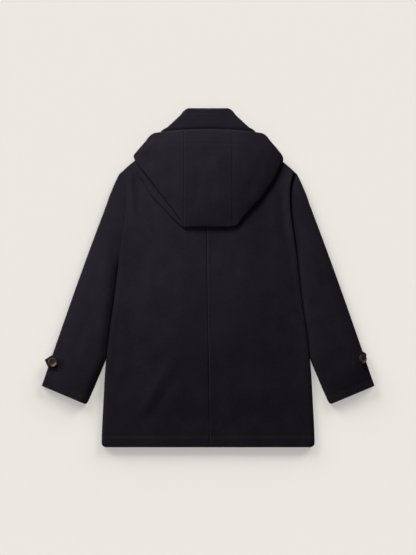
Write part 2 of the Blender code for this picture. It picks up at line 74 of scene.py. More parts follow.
LIFT = 8.0               # how far the fastenings hold the front off the surface
LIFT_FLAT_X = 60.0
LIFT_END_X = 205.0
LIFT_LOW_Y = (-290.0, -140.0)
LIFT_HIGH_Y = (340.0, 436.0)
LIFT_AT_COLLAR = 0.45

BODY_EDGE = (
    # y, half_width
    (-439.4, 267.5),
    (-436.6, 273.5),
    (-429.0, 276.6),
    (-342.0, 273.0),
    (-225.0, 266.0),
    (-139.0, 256.0),
    (-69.0, 246.0),
    (25.0, 234.5),
    (90.0, 226.0),
    (146.0, 217.5),
    (190.0, 213.0),
    (235.0, 213.5),
    (276.0, 223.0),
)
SLEEVE_OUTER = (
    # x, y
    (231.2, 268.6),
    (240.0, 251.0),
    (256.5, 212.0),
    (262.5, 194.0),
    (308.5, 71.0),
    (356.0, -61.0),
    (432.0, -280.0),
)
SLEEVE_INNER_HEAD = (223.2, 276.3)
SLEEVE_BESIDE_Y = (235.0, 190.0, 146.0, 90.0, 25.0, -69.0, -139.0, -209.0)
SLEEVE_SIDE_GAP = 0.2
ARMHOLE_GAP = 0.15
SLEEVE_INNER_FREE = (
    # x, y
    (270.5, -225.0),
    (283.5, -256.0),
    (297.0, -288.0),
    (315.6, -329.0),
)

HOOD_SEAM_X = 62.5
HOOD_FOOT_Y = 130.0
HOOD_RIM_Y = 384.5
HOOD_RIM_DIP = 9.5
HOOD_RIM_END_X = 138.0
HOOD_POUCH_GAP = 3.7
HOOD_CROWN = 1.2
HOOD_CROWN_HALF_WIDTH = 190.0
HOOD_RIM_LOW_Y = (300.0, 375.0)
HOOD_UNDER_TOP_Y = 356.0
HOOD_UNDER_LOWER = 1.0
HOOD_OUTLINE = {
    # x, y out from the middle: the fold sits askew, higher on the left
    "right": (
        (75.0, 136.0),
        (86.0, 150.0),
        (106.0, 173.0),
        (139.0, 209.0),
        (169.0, 252.0),
        (184.0, 283.0),
        (193.0, 313.0),
        (183.0, 329.0),
        (163.0, 352.0),
        (150.0, 368.0),
        (138.0, 375.0),
    ),
    "left": (
        (67.5, 141.0),
        (76.0, 158.0),
        (100.0, 189.0),
        (120.0, 215.0),
        (140.0, 241.0),
        (162.0, 269.0),
        (183.0, 296.0),
        (193.0, 315.0),
        (183.0, 329.0),
        (163.0, 352.0),
        (150.0, 368.0),
        (138.0, 375.0),
    ),
}
HOOD_UNDER_OUTLINE = {
    # x, y out from the middle: it shows past the fold on the left
    "right": (
        (76.0, 134.0),
        (107.0, 171.0),
        (140.5, 207.0),
        (170.5, 250.0),
        (185.5, 281.0),
        (194.5, 311.0),
        (164.5, 351.0),
    ),
    "left": (
        (66.0, 133.0),
        (88.0, 152.0),
        (115.0, 181.0),
        (145.0, 212.0),
        (166.0, 247.0),
        (189.0, 295.0),
        (164.5, 351.0),
    ),
}

COLLAR_FOLD_Y = 439.4
COLLAR_FOOT_Y = 367.0
COLLAR_SIDE = (
    # y, half_width
    (367.0, 124.0),
    (377.0, 124.0),
    (384.0, 118.0),
    (391.0, 106.0),
    (407.0, 88.0),
    (422.0, 72.0),
    (431.0, 65.0),
    (436.5, 58.5),
    (439.4, 52.0),
)
COLLAR_POINT = (52.0, 246.0)
COLLAR_FRONT_FOLD = (7.0, 334.0)
STAND_TOP_Y = 429.0
STAND_TOP_X = 52.0
LEAF_RADIUS = 7.0

TABS = (
    # side, button_x, button_y, reach_in, reach_out
    ("left", -402.5, -218.7, 27.0, 22.5),
    ("right", 400.0, -209.6, 29.0, 14.0),
)
TAB_WIDTH = 33.5
TAB_TIP = {"left": 0.0, "right": 0.55}    # where its point lies, from -1 to 1 across it
TAB_POINT_ABOVE = {"left": 15.0, "right": 15.0}
TAB_POINT_BELOW = {"left": 15.0, "right": 6.0}
TAB_DIRECTION = math.radians(16.5)
TAB_RISE = 2.0                            # the sleeve is fuller under the strap than its plain form
TAB_CURL = {"left": 1.5, "right": 6.0}    # how far its tip bends down
TAB_STITCH = (5.0, -0.5, 0.9)             # from its edge, height, width
BUTTON_TILT = {"left": math.radians(6), "right": math.radians(35)}
BUTTON_SHANK = {"left": 0.9, "right": 4.0}

TOGGLE_ROWS_Y = (205.0, 105.0, 5.0, -95.0)
TOGGLE_WIDTH = 13.0
TOGGLE_THICK = 7.0
CORD_RADIUS = 1.35
PATCH_NEAR_X = 52.0
PATCH_FAR_X = 96.0
PATCH_HALF_HEIGHT = 22.0
PATCH_ROUND = 9.0        # how far its outer corners are cut back
PATCH_THICK = 1.8
PATCH_STITCH = (3.0, 0.35, 0.8)    # from its edge, height, width
LOOP_ROUTE = (
    # out, aside
    (51.5, 4.0),
    (46.0, 5.2),
    (38.0, 7.6),
    (28.0, 8.9),
    (10.0, 8.9),
    (4.6, 7.6),
    (2.3, 4.6),
    (1.75, 0.0),
)

ROLL_STEPS = 7           # lines round a folded edge
ROLL_LIP = 1.0           # a straight lip past the roll
ROLL_SPREAD = 0.5        # steps of an edge that doesn't turn lie this far apart
GRIDS = {
    # piece: how finely it is divided across and along, between its folded edges
    "back": (112, 236),
    "front": (56, 110),
    "sleeve_top": (66, 170),
    "sleeve_under": (34, 80),
    "hood_centre": (70, 130),
    "hood_side": (66, 130),
    "hood_under": (90, 60),
    "collar_leaf_back": (100, 46),
    "collar_leaf_front": (40, 40),
    "collar_stand_back": (40, 24),
    "collar_stand_front": (30, 30),
    "cuff_tab": (40, 56),
    "toggle_patch": (44, 44),
}
TUBE_RADIUS = TUBE / 2 - SEAM_GAP / 2 - ROLL_LIP
HOOD_RADIUS = HOOD_POUCH_GAP + HOOD_CLOTH - CURVED_SEAM_GAP - ROLL_LIP


# ---------------------------------------------------------------- numbers

def ease(value):
    """Smooth step from 0 to 1."""
    value = np.clip(value, 0.0, 1.0)
    return value * value * (3 - 2 * value)


def ramp(value, start, end):
    """From 0 at the start to 1 at the end, easing in and out."""
    return ease((value - start) / (end - start))


def mix(low, high, part):
    return low + (high - low) * part


def sign_of(side):
    return 1 if side == "right" else -1


def ridge(off, height, width):
    """A soft ridge, or a groove where height is negative, at a distance off its line."""
    return height * np.exp(-(off / width) ** 2)


def ridges(off, rows):
    """Soft ridges and grooves side by side: rows of place, height and width."""
    return sum(ridge(off - place, height, width) for place, height, width in rows)


def rise_from(edge, slowness):
    """From 0 at an edge towards 1 away from it."""
    return 1 - np.exp(-edge / slowness)


def smooth_value(rows, place):
    """Value of a two-column table at each place, on a smooth curve through its rows."""
    places, values = np.array(rows, float).T
    place = np.clip(place, places[0], places[-1])
    before = np.maximum(np.arange(len(places)) - 1, 0)
    after = np.minimum(np.arange(len(places)) + 1, len(places) - 1)
    slopes = (values[after] - values[before]) / (places[after] - places[before])
    index = np.clip(np.searchsorted(places, place, side="right") - 1, 0, len(places) - 2)
    span = places[index + 1] - places[index]
    part = (place - places[index]) / span
    square = part * part
    cube = square * part
    return (
        (2 * cube - 3 * square + 1) * values[index]
        + (cube - 2 * square + part) * span * slopes[index]
        + (3 * square - 2 * cube) * values[index + 1]
        + (cube - square) * span * slopes[index + 1]
    )


def route(points):
    """A path through plan points: its part from 0 to 1 gives a point on it."""
    points = np.array(points, float)
    steps = np.hypot(*np.diff(points, axis=0).T)
    parts = np.concatenate([[0.0], np.cumsum(steps)]) / steps.sum()
    across = np.column_stack([parts, points[:, 0]])
    upward = np.column_stack([parts, points[:, 1]])
    return lambda part: (smooth_value(across, part), smooth_value(upward, part))


def nearest_place(x, y, line):
    """How far each point is from a line of plan points, which side it is on, and where along the line."""
    line = np.array(line, float)
    steps = np.hypot(*np.diff(line, axis=0).T)
    starts = np.concatenate([[0.0], np.cumsum(steps)])
    nearest = np.full(np.shape(x), 1e9)
    side = np.zeros(np.shape(x))
    place = np.zeros(np.shape(x))
    for (x0, y0), (x1, y1), start, step in zip(line, line[1:], starts, steps):
        part = np.clip(((x - x0) * (x1 - x0) + (y - y0) * (y1 - y0)) / step ** 2, 0, 1)
        away_x = x - mix(x0, x1, part)
        away_y = y - mix(y0, y1, part)
        away = np.hypot(away_x, away_y)
        closer = away < nearest
        nearest = np.where(closer, away, nearest)
        side = np.where(closer, np.sign((x1 - x0) * away_y - (y1 - y0) * away_x), side)
        place = np.where(closer, (start + part * step) / starts[-1], place)
    return nearest, side, place


def crease(x, y, line, depth, left, right, fade=0.25):
    """A soft ridge, or a trough where depth is negative, along a line of plan points.

    left and right are its widths on the two sides, looking along the line. It fades towards both ends.
    """
    nearest, side, place = nearest_place(x, y, line)
    width = np.where(side > 0, left, right)
    return ridge(nearest, depth * ease(place / fade) * ease((1 - place) / fade), width)


def creases(x, y, rows):
    return sum(crease(x, y, line, depth, left, right) for line, depth, left, right in rows)


def waves(x, y, size, seed):
    """Slow uneven rise and fall, from -1 to 1, about so many millimetres from crest to crest."""
    total = 0.0
    for step in range(5):
        turn = seed * 1.7 + step * 2.4
        length = size * (0.7 + 0.23 * ((step * 7 + seed * 3) % 5))
        along = (x * math.cos(turn) + y * math.sin(turn)) / length
        total = total + np.sin(2 * math.pi * along + seed * 2.1 + step * 1.3)
    return total / 5


# ---------------------------------------------------------------- heights

def lift(x, y):
    """How far the fastenings hold the front off the surface at a place."""
    across = 1 - ramp(np.abs(x), LIFT_FLAT_X, LIFT_END_X)
    collar = mix(1.0, LIFT_AT_COLLAR, ramp(y, *LIFT_HIGH_Y))
    return LIFT * across * ramp(y, *LIFT_LOW_Y) * collar


def tube_top(x, y):
    return lift(x, y) + TUBE


def hood_floor(x, y):
    return tube_top(x, y) + CURVED_SEAM_GAP + CLOTH


def body_edge(y):
    return smooth_value(BODY_EDGE, y)


SEAM_WANDER_X = (4.0, -3.0)      # the centre seam wanders a little from the hem to the hood
SEAM_WANDER_Y = (HEM_Y, HEM_Y + 560.0)


def seam_x(y):
    return mix(*SEAM_WANDER_X, ramp(y, *SEAM_WANDER_Y))


BACK_STITCH = 8.0
BACK_SEAM = (
    # from the centre seam, height, width
    (0.0, -0.7, 1.6),
    (5.0, 0.35, 3.5),
    (BACK_STITCH, -0.3, 1.5),
)
HEM_LINE_Y = -410.0
HEM_LINES = (
    # y, height, width: the stitches, and the raw edge that shows faintly below them
    (HEM_LINE_Y, -0.7, 2.0),
    (-425.0, -0.3, 1.8),
)
HEM_FULL = 0.8                  # the turned-up hem is thicker, most of all just below its stitches
HEM_FULL_Y = (HEM_LINE_Y, HEM_LINE_Y - 8.0)
HEM_THIN_Y = (HEM_LINE_Y - 10.0, HEM_LINE_Y - 30.0)

BACK_SWELL = 4.6                # the back lies fuller below the hood, and falls away above the hem
BACK_SWELL_TOP_Y = (80.0, -50.0)
BACK_SWELL_FOOT_Y = (-385.0, -275.0)
BACK_SWELL_X = (245.0, 125.0)

SIDE_PRESS = (-2.0, 7.0)        # height, width of the groove where the side folds under
SIDE_PRESS_Y = (50.0, 10.0)
RIGHT_RIDGE = (1.5, 6.0)        # the cloth stands up beside the right sleeve, higher by the armhole
RIGHT_RIDGE_WIDTH = 16.0
RIGHT_RIDGE_HIGH_Y = (40.0, 160.0)
RIGHT_RIDGE_FOOT_Y = (-230.0, -170.0)
LEFT_RISE = 3.5                 # it climbs more slowly towards the left sleeve
LEFT_RISE_WIDTH = 50.0
LEFT_RISE_FOOT_Y = (-400.0, -200.0)
LEFT_RISE_TOP_Y = (230.0, 110.0)

FOLD_DEPTH = 0.8                # share of the heights below that the back and the sleeves take
BACK_FOLDS = (
    # line of the fold, height, width on its left and right looking along it
    (((-96, -200), (-113, -246), (-138, -292), (-166, -341), (-200, -366)), 2.8, 24.0, 15.0),
    (((-84, -232), (-108, -290), (-140, -350), (-190, -385)), -1.3, 14.0, 20.0),
    (((-204, 290), (-199, 245), (-196, 205), (-193, 150)), 1.9, 7.0, 10.0),
    (((-184, 275), (-178, 225), (-180, 165)), -1.6, 10.0, 12.0),
    (((203, 262), (192, 210), (198, 146), (212, 60), (232, -60), (250, -180)), -1.4, 11.0, 9.0),
    (((180, 250), (172, 190), (176, 130), (192, 40)), 1.6, 12.0, 12.0),
    (((-150, 120), (-146, 20), (-156, -110)), 0.9, 16.0, 16.0),
    (((-90, 110), (-84, 10), (-92, -140)), -0.8, 14.0, 14.0),
    (((96, 110), (90, 0), (104, -150)), 0.8, 15.0, 15.0),
    (((150, 100), (158, -20), (150, -200)), -0.8, 15.0, 15.0),
    (((4, -380), (6, -398), (3, -420)), 1.2, 7.0, 7.0),
    (((120, -240), (150, -320), (196, -400)), 0.9, 18.0, 18.0),
    (((-230, -60), (-238, -180), (-252, -300)), -1.0, 10.0, 14.0),
)
FRONT_FOLDS = (
    (((-120, -200), (-160, -300), (-200, -370)), -1.6, 14.0, 14.0),
    (((110, -220), (150, -320), (190, -390)), -1.4, 14.0, 14.0),
    (((150, 180), (160, 60), (150, -80)), -1.1, 16.0, 16.0),
)
FRONT_RELIEF_MAX = 0.9


def back_sides(x, y):
    """The side is pressed down to its fold, and the cloth stands up beside each sleeve."""
    inset = body_edge(y) - np.abs(x)
    press, press_width = SIDE_PRESS
    right = (x > 0) * mix(*RIGHT_RIDGE, ramp(y, *RIGHT_RIDGE_HIGH_Y)) * ramp(y, *RIGHT_RIDGE_FOOT_Y)
    left = (x < 0) * LEFT_RISE * ramp(y, *LEFT_RISE_FOOT_Y) * ramp(y, *LEFT_RISE_TOP_Y)
    return (
        ridge(inset, press * ramp(y, *SIDE_PRESS_Y), press_width)
        + ridge(inset, right, RIGHT_RIDGE_WIDTH)
        + ridge(inset, left, LEFT_RISE_WIDTH)
    )


def back_relief(x, y):
    """What the back does over its plain form: seams, hem and the folds it lies in."""
    z = 0.55 * waves(x, y * 0.35, 62.0, 1) + 0.35 * waves(x, y, 120.0, 4)
    swell = ramp(y, *BACK_SWELL_TOP_Y) * ramp(y, *BACK_SWELL_FOOT_Y) * ramp(np.abs(x), *BACK_SWELL_X)
    hem = ramp(y, *HEM_FULL_Y) * mix(1.0, 0.4, ramp(y, *HEM_THIN_Y))
    z = z + BACK_SWELL * swell + HEM_FULL * hem
    z = z + ridges(x - seam_x(y), BACK_SEAM) + ridges(y, HEM_LINES)
    return z + back_sides(x, y) + FOLD_DEPTH * creases(x, y, BACK_FOLDS)


def back_top(x, y):
    return tube_top(x, y) + back_relief(x, y)


def front_relief(x, y):
    """The hidden front lies in softer folds of the same kind."""
    z = 0.5 * waves(x, y * 0.4, 70.0, 6) + creases(x, y, FRONT_FOLDS)
    return np.minimum(z + ridge(y - HEM_LINE_Y, 0.7, 2.0), FRONT_RELIEF_MAX)


# ---------------------------------------------------------------- one sheet of cloth

START, FLAT, END = -1, 0, 1


def stations(flats, roll_start, roll_end):
    """Lines of a grid one way: their kinds, and their steps or parts. flats is a count or the parts."""
    steps = np.arange(ROLL_STEPS + 1, 0, -1, dtype=float)
    flats = np.linspace(0, 1, flats + 1) if isinstance(flats, int) else np.array(flats, float)
    kinds = [np.full(len(flats), FLAT)]
    values = [flats]
    if roll_start:
        kinds.insert(0, np.full(len(steps), START))
        values.insert(0, steps)
    if roll_end:
        kinds.append(np.full(len(steps), END))
        values.append(steps[::-1])
    return np.concatenate(kinds), np.concatenate(values)


def rolled(step, turn, radius):
    """How far in from a folded edge a step of its roll lies, and how far over."""
    past = step > ROLL_STEPS
    angle = turn * np.minimum(step, ROLL_STEPS) / ROLL_STEPS
    drop = radius * (1 - np.cos(angle)) + np.where(past, ROLL_LIP * np.sin(turn), 0.0)

    def reach(steps):
        end = turn * np.minimum(steps, ROLL_STEPS) / ROLL_STEPS
        lip = np.where(steps > ROLL_STEPS, ROLL_LIP * np.cos(turn), 0.0)
        return mix(ROLL_SPREAD * steps, radius * np.sin(end) + lip, turn / FOLD_TURN)

    return reach(ROLL_STEPS + 1) - reach(step), drop


def settle(kinds, values, length, start_turn, end_turn, radius):
    """Part of the way along each line of the grid, its drop, and its lean outwards from level."""
    start_width = rolled(0.0, start_turn, radius)[0] if kinds.min() == START else 0.0
    end_width = rolled(0.0, end_turn, radius)[0] if kinds.max() == END else 0.0
    flat = mix(start_width, length - end_width, values) / length
    turn = np.where(kinds == START, start_turn, end_turn)
    inset, drop = rolled(values, turn, radius)
    lean = turn * np.minimum(values, ROLL_STEPS) / ROLL_STEPS
    part = np.where(kinds == FLAT, flat, np.where(kinds == START, inset / length, 1 - inset / length))
    drop = np.where(kinds == FLAT, 0.0, drop)
    lean = np.where(kinds == FLAT, 0.0, np.where(kinds == START, -lean, lean))
    return part, drop, lean


def turned_by(angle):
    """An edge that rolls over by the same angle all along."""
    return lambda part: np.full(np.shape(part), angle)


no_turn = turned_by(0.0)
fold = turned_by(FOLD_TURN)


def plain_height(height, side="right"):
    """A height that only the plan place gives, as a sheet wants it. The left side is mirrored."""
    return lambda x, y, across, along: height(sign_of(side) * x, y)


class Sheet:
    """The plan, height and folded edges of one piece of cloth, at every point of its grid."""

    def __init__(self, plan, height, side, radius, grid, turns):
        left, right, low, high = turns
        self.plan = plan          # plan(across, along) gives x, y
        self.height = height      # height(x, y, across, along) of the outer face
        self.side = side          # 1 when the outer face looks up, -1 when it looks down
        self.radius = radius
        self.across = stations(grid[0], left is not no_turn, right is not no_turn)
        self.along = stations(grid[1], low is not no_turn, high is not no_turn)
        self.turns = turns        # turn of the edges at each part of them: left, right, low, high

    def points(self, wall):
        turn_left, turn_right, turn_low, turn_high = self.turns
        column_kind, column_value = (lines[:, None] for lines in self.across)
        row_kind, row_value = (lines[None, :] for lines in self.along)
        guess = np.where(column_kind == FLAT, column_value, np.where(column_kind == START, 0.0, 1.0))
        foot_x, foot_y = self.plan(guess, np.zeros_like(guess))
        head_x, head_y = self.plan(guess, np.ones_like(guess))
        length = np.hypot(head_x - foot_x, head_y - foot_y)
        along, drop_along, lean_along = settle(
            row_kind, row_value, length, turn_low(guess), turn_high(guess), self.radius)
        left_x, left_y = self.plan(np.zeros_like(along), along)
        right_x, right_y = self.plan(np.ones_like(along), along)
        width = np.hypot(right_x - left_x, right_y - left_y)
        across, drop_across, lean_across = settle(
            column_kind, column_value, width, turn_left(along), turn_right(along), self.radius)
        x, y = self.plan(across, along)
        z = self.height(x, y, across, along) - self.side * np.maximum(drop_along, drop_across)
        side_step = wall * np.sin(lean_across) / width
        end_step = wall * np.sin(lean_along) / length
        inner_x = x - side_step * (right_x - left_x) - end_step * (head_x - foot_x)
        inner_y = y - side_step * (right_y - left_y) - end_step * (head_y - foot_y)
        steepest = np.maximum(np.abs(lean_across), np.abs(lean_along))
        inner_z = z - self.side * wall * np.cos(steepest)
        return np.stack([x, y, z], axis=-1), np.stack([inner_x, inner_y, inner_z], axis=-1)


def new_piece(name, form, material):
    piece = bpy.data.objects.new(name, form)
    form.materials.append(material)
    bpy.data.collections["coat"].objects.link(piece)
    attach(piece, "root")
    return piece


def cloth_piece(node, sheet, wall, material, mirror=False, slot="wool"):
    """A grid extruded to a shell of two faces, whose points the sheet then places."""
    columns = len(sheet.across[0]) - 1
    rows = len(sheet.along[0]) - 1
    grid = bmesh.new()
    bmesh.ops.create_grid(grid, x_segments=columns, y_segments=rows, size=1)
    made = bmesh.ops.extrude_face_region(grid, geom=list(grid.faces))
    inner_side = [item for item in made["geom"] if isinstance(item, bmesh.types.BMVert)]
    bmesh.ops.translate(grid, verts=inner_side, vec=(0, 0, -1))
    mesh = bpy.data.meshes.new(f"{node}_{slot}")
    grid.to_mesh(mesh)
    grid.free()

    places = np.empty(len(mesh.vertices) * 3)
    mesh.vertices.foreach_get("co", places)
    places = places.reshape(-1, 3)
    column = np.rint((places[:, 0] + 1) / 2 * columns).astype(int)
    row = np.rint((places[:, 1] + 1) / 2 * rows).astype(int)
    outer, inner = sheet.points(wall)
    points = np.where(places[:, 2:] < -0.5, inner[column, row], outer[column, row])
    if mirror:
        points[:, 0] *= -1
    mesh.vertices.foreach_set("co", (points * MM).ravel())

    shell = bmesh.new()
    shell.from_mesh(mesh)
    bmesh.ops.recalc_face_normals(shell, faces=shell.faces)
    shell.to_mesh(mesh)
    shell.free()
    mesh.shade_smooth()
    piece = new_piece(f"{node}_{slot}", mesh, material)
    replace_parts(piece, node)
    return piece


# ---------------------------------------------------------------- body

ARMHOLE_TURN_Y = (ARMPIT_Y - 20.0, ARMPIT_Y + 20.0)


def edge_turn(side, y):
    """The side is a fold. The armhole only dips to its seam."""
    return mix(FOLD_TURN, ARMHOLE_TURN[side], ramp(y, *ARMHOLE_TURN_Y))


def side_turn(side):
    return lambda along: edge_turn(side, mix(HEM_Y, SHOULDER_POINT[1], along))


NECK_PART = NECK_SIDE[0] / SHOULDER_POINT[0]
SHOULDER_TURN_PART = (NECK_PART + 0.01, NECK_PART + 0.09)


def shoulder_turn(part):
    """The neckline is raw under the collar, and the shoulder is a fold."""
    return FOLD_TURN * ramp(part, *SHOULDER_TURN_PART)


def top_line(part, neck_y):
    """Neckline, then shoulder, from the centre out to the shoulder point."""
    neck = mix(neck_y, NECK_SIDE[1], (part / NECK_PART) ** 2)
    out = np.clip((part - NECK_PART) / (1 - NECK_PART), 0, 1)
    shoulder = mix(NECK_SIDE[1], SHOULDER_POINT[1], out) + SHOULDER_CROWN * np.sin(math.pi * out) * out
    return np.where(part < NECK_PART, neck, shoulder)


def body_plan(start_x, neck_y, shift=0.0):
    """Plan of a half body. Its rows are level up to the armpit and then follow the neck and shoulder."""
    start_part = start_x / SHOULDER_POINT[0]

    def plan(across, along):
        edge_y = mix(HEM_Y, SHOULDER_POINT[1], along)
        part = mix(start_part, 1.0, across)
        x = part * np.where(part > 0, body_edge(edge_y), SHOULDER_POINT[0])
        crown = top_line(np.maximum(0.0, part), neck_y) - SHOULDER_POINT[1]
        y = edge_y + crown * ramp(along, CROWN_START, 1.0)
        return x + shift * seam_x(y) * (1 - part) ** 2, y
    return plan


def rows_from(part, close_count, count):
    """Rows from the lower edge up, close together at its rounded corners."""
    close = np.linspace(0, part, close_count + 1)[:-1]
    return np.concatenate([close, np.linspace(part, 1, count)])


def back_panel(side, wool):
    columns, rows = GRIDS["back"]
    sheet = Sheet(
        body_plan(SEAM_GAP / 2, NECK_BACK_Y, shift=sign_of(side)),
        plain_height(back_top, side),
        1,
        TUBE_RADIUS,
        (columns, rows_from(0.02, 8, rows)),
        (no_turn, side_turn(side), no_turn, shoulder_turn),
    )
    return cloth_piece(f"back_{side}", sheet, CLOTH, wool, mirror=side == "left")


FRONT_RELIEF_EDGE = 30.0         # its folds fade out this close to the side
FRONT_RELIEF_X = (100.0, 130.0)  # and between the fastenings and here


def front_panel(side, wool):
    """The left front laps over the right one."""
    def height(x, y, across, along):
        onto = 1 - ramp(x, *OVERLAP_EASE) if side == "left" else 0.0
        inside = ease((body_edge(y) - x) / FRONT_RELIEF_EDGE) * ramp(x, *FRONT_RELIEF_X)
        return lift(x, y) + (CLOTH + SEAM_GAP) * onto - 0.5 * inside * front_relief(sign_of(side) * x, y)

    columns, rows = GRIDS["front"]
    reach = OVERLAP / SHOULDER_POINT[0]
    sheet = Sheet(
        body_plan(-OVERLAP, NECK_FRONT_Y),
        height,
        -1,
        TUBE_RADIUS,
        (columns, rows_from(0.02, 8, rows)),
        (no_turn, side_turn(side), no_turn, lambda part: shoulder_turn(part * (1 + reach) - reach)),
    )
    return cloth_piece(f"front_{side}", sheet, CLOTH, wool, mirror=side == "left")


# ---------------------------------------------------------------- sleeves

def sleeve_paths():
    armhole = [SLEEVE_INNER_HEAD]
    for y in SLEEVE_BESIDE_Y:
        gap = mix(SLEEVE_SIDE_GAP, ARMHOLE_GAP, ramp(y, ARMPIT_Y - 40, ARMPIT_Y))
        armhole.append((float(body_edge(y)) + float(gap), y))
    return route(armhole + list(SLEEVE_INNER_FREE)), route(SLEEVE_OUTER)


SLEEVE_FOLDS = {
    "left": (
        (((-250, 150), (-262, 60), (-280, -60)), 1.2, 12.0, 12.0),
        (((-300, 40), (-318, -20), (-352, -110)), 0.9, 14.0, 14.0),
        (((-290, -60), (-330, -150), (-350, -240)), -1.0, 12.0, 12.0),
    ),
    "right": (
        (((250, 160), (268, 60), (300, -60)), 1.2, 12.0, 12.0),
        (((290, 20), (318, -60), (340, -150)), -1.1, 12.0, 14.0),
        (((330, -90), (366, -190), (390, -250)), 0.8, 14.0, 14.0),
    ),
}
SLEEVE_PUFF = {"left": 12.0, "right": 11.0}
SLEEVE_SLOPE = {"left": (9.0, 75.0), "right": (60.0, 16.0)}   # how slowly it rises from its two edges
SLEEVE_HEAD_SLOPE = 66.0         # and from its inner edge beside the armhole
SLEEVE_HEAD_Y = (ARMPIT_Y, ARMPIT_Y + 110.0)
SLEEVE_DIVE = {"left": 2.4, "right": 3.4}                     # where it tucks under the side of the body
SLEEVE_DIVE_WIDTH = 11.0
SLEEVE_LEFT_DIVE_Y = (60.0, 10.0)
SLEEVE_WAVE_SEEDS = {"top": {"left": 5, "right": 2}, "under": {"left": 3, "right": 8}}
SLEEVE_LENGTH = 560.0
CUFF_ROUND = 7.0                 # radius of the cuff's inner corner
CUFF_WIDTH = 126.0
CUFF_PUFF = 0.35                 # share of the puff left at the cuff
CUFF_LINE = (20.0, -0.7, 2.0)    # stitches: from the cuff's edge, height, width


def sleeve_top_height(side, inner, outer):
    rise_in, rise_out = SLEEVE_SLOPE[side]
    seed = SLEEVE_WAVE_SEEDS["top"][side]

    def height(x, y, across, along):
        inner_x, inner_y = inner(1 - along)
        outer_x, outer_y = outer(1 - along)
        width = np.hypot(outer_x - inner_x, outer_y - inner_y)
        inset = across * width
        slope_in = mix(rise_in, SLEEVE_HEAD_SLOPE, ramp(y, *SLEEVE_HEAD_Y))
        full = rise_from(inset, slope_in) * rise_from((1 - across) * width, rise_out)
        tucked = 1.0 if side == "right" else ramp(y, *SLEEVE_LEFT_DIVE_Y)
        z = TUBE + SLEEVE_PUFF[side] * full * mix(CUFF_PUFF, 1.0, ease(along / 0.12))
        z = z - tucked * ridge(inset, SLEEVE_DIVE[side], SLEEVE_DIVE_WIDTH)
        z = z + 0.5 * waves(x, y, 70.0, seed) * full + ridges(along * SLEEVE_LENGTH, (CUFF_LINE,))
        return z + FOLD_DEPTH * creases(sign_of(side) * x, y, SLEEVE_FOLDS[side])
    return height


def sleeve_under_height(side):
    def height(x, y, across, along):
        inside = ease(across / 0.2) * ease((1 - across) / 0.2)
        return 0.4 * inside * (1 + waves(x, y, 80.0, SLEEVE_WAVE_SEEDS["under"][side]))
    return height


def sleeve_panel(level, side, wool):
    inner, outer = sleeve_paths()
    top = level == "top"

    def plan(across, along):
        near_corner = 1 - CUFF_WIDTH * across / CUFF_ROUND
        rounded = CUFF_ROUND * (1 - np.sqrt(1 - np.clip(near_corner, 0, 1) ** 2))
        along = mix(rounded / SLEEVE_LENGTH, 1.0, along)
        inner_x, inner_y = inner(1 - along)
        outer_x, outer_y = outer(1 - along)
        return mix(inner_x, outer_x, across), mix(inner_y, outer_y, across)

    columns, rows = GRIDS[f"sleeve_{level}"]
    sheet = Sheet(
        plan,
        sleeve_top_height(side, inner, outer) if top else sleeve_under_height(side),
        1 if top else -1,
        TUBE_RADIUS,
        (columns, rows_from(0.016, 6, rows)),
        (lambda along: edge_turn(side, inner(1 - along)[1]), fold, no_turn, no_turn),
    )
    return cloth_piece(f"sleeve_{level}_{side}", sheet, CLOTH, wool, mirror=side == "left")


# ---------------------------------------------------------------- hood

def rim_y(x):
    return HOOD_RIM_Y - HOOD_RIM_DIP * (np.abs(x) / HOOD_RIM_END_X) ** 2


HOOD_HEM_DROP = 37.0             # the face edge is turned in and stitched this far below the rim
HOOD_HEM_DEPTH = (0.7, 0.3)      # across the centre strip, and across the two sides
HOOD_STITCH = 5.0
HOOD_SEAM = (
    # from the seam, height, width
    (0.0, -0.55, 1.7),
    (-HOOD_STITCH, -0.25, 1.2),
    (HOOD_STITCH, -0.25, 1.2),
)
HOOD_FOLDS = (
    # line of the fold, height, width on its left and right looking along it
    (((-150, 300), (-120, 250), (-96, 200)), 1.4, 14.0, 18.0),
    (((-178, 316), (-160, 338), (-128, 352)), 2.0, 10.0, 14.0),
    (((140, 320), (118, 250), (92, 190)), -1.2, 14.0, 14.0),
    (((30, 330), (24, 240), (34, 170)), 0.8, 14.0, 14.0),
    (((-30, 330), (-20, 250), (-34, 160)), -0.7, 14.0, 14.0),
)
HOOD_DOME = 10.0                 # how far the folded cloth stands up between its edges
HOOD_DOME_AT_RIM = 0.75          # share of the dome that is left at the rim
HOOD_DOME_RIM = 50.0
HOOD_RISE = (26.0, 40.0)         # how slowly it rises from the fold on the left, and from the others
HOOD_SLOPE = 1.8                 # the cloth lies higher towards the neck
HOOD_SLOPE_Y = (HOOD_FOOT_Y, HOOD_FOOT_Y + 210.0)
HOOD_EDGE_DROP = 2.6             # the fold is pressed flatter on the right and below
HOOD_EDGE_WIDTH = 22.0
HOOD_BASE = -1.4
HOOD_LEFT_FOLD = [(-x, y) for x, y in HOOD_OUTLINE["left"][:8]]
HOOD_FOOT_FOLD = [(-HOOD_SEAM_X, HOOD_FOOT_Y), (HOOD_SEAM_X, HOOD_FOOT_Y), HOOD_OUTLINE["right"][0]]
HOOD_RIGHT_FOLD = HOOD_OUTLINE["right"][:7]
hood_turn = turned_by(math.radians(60))


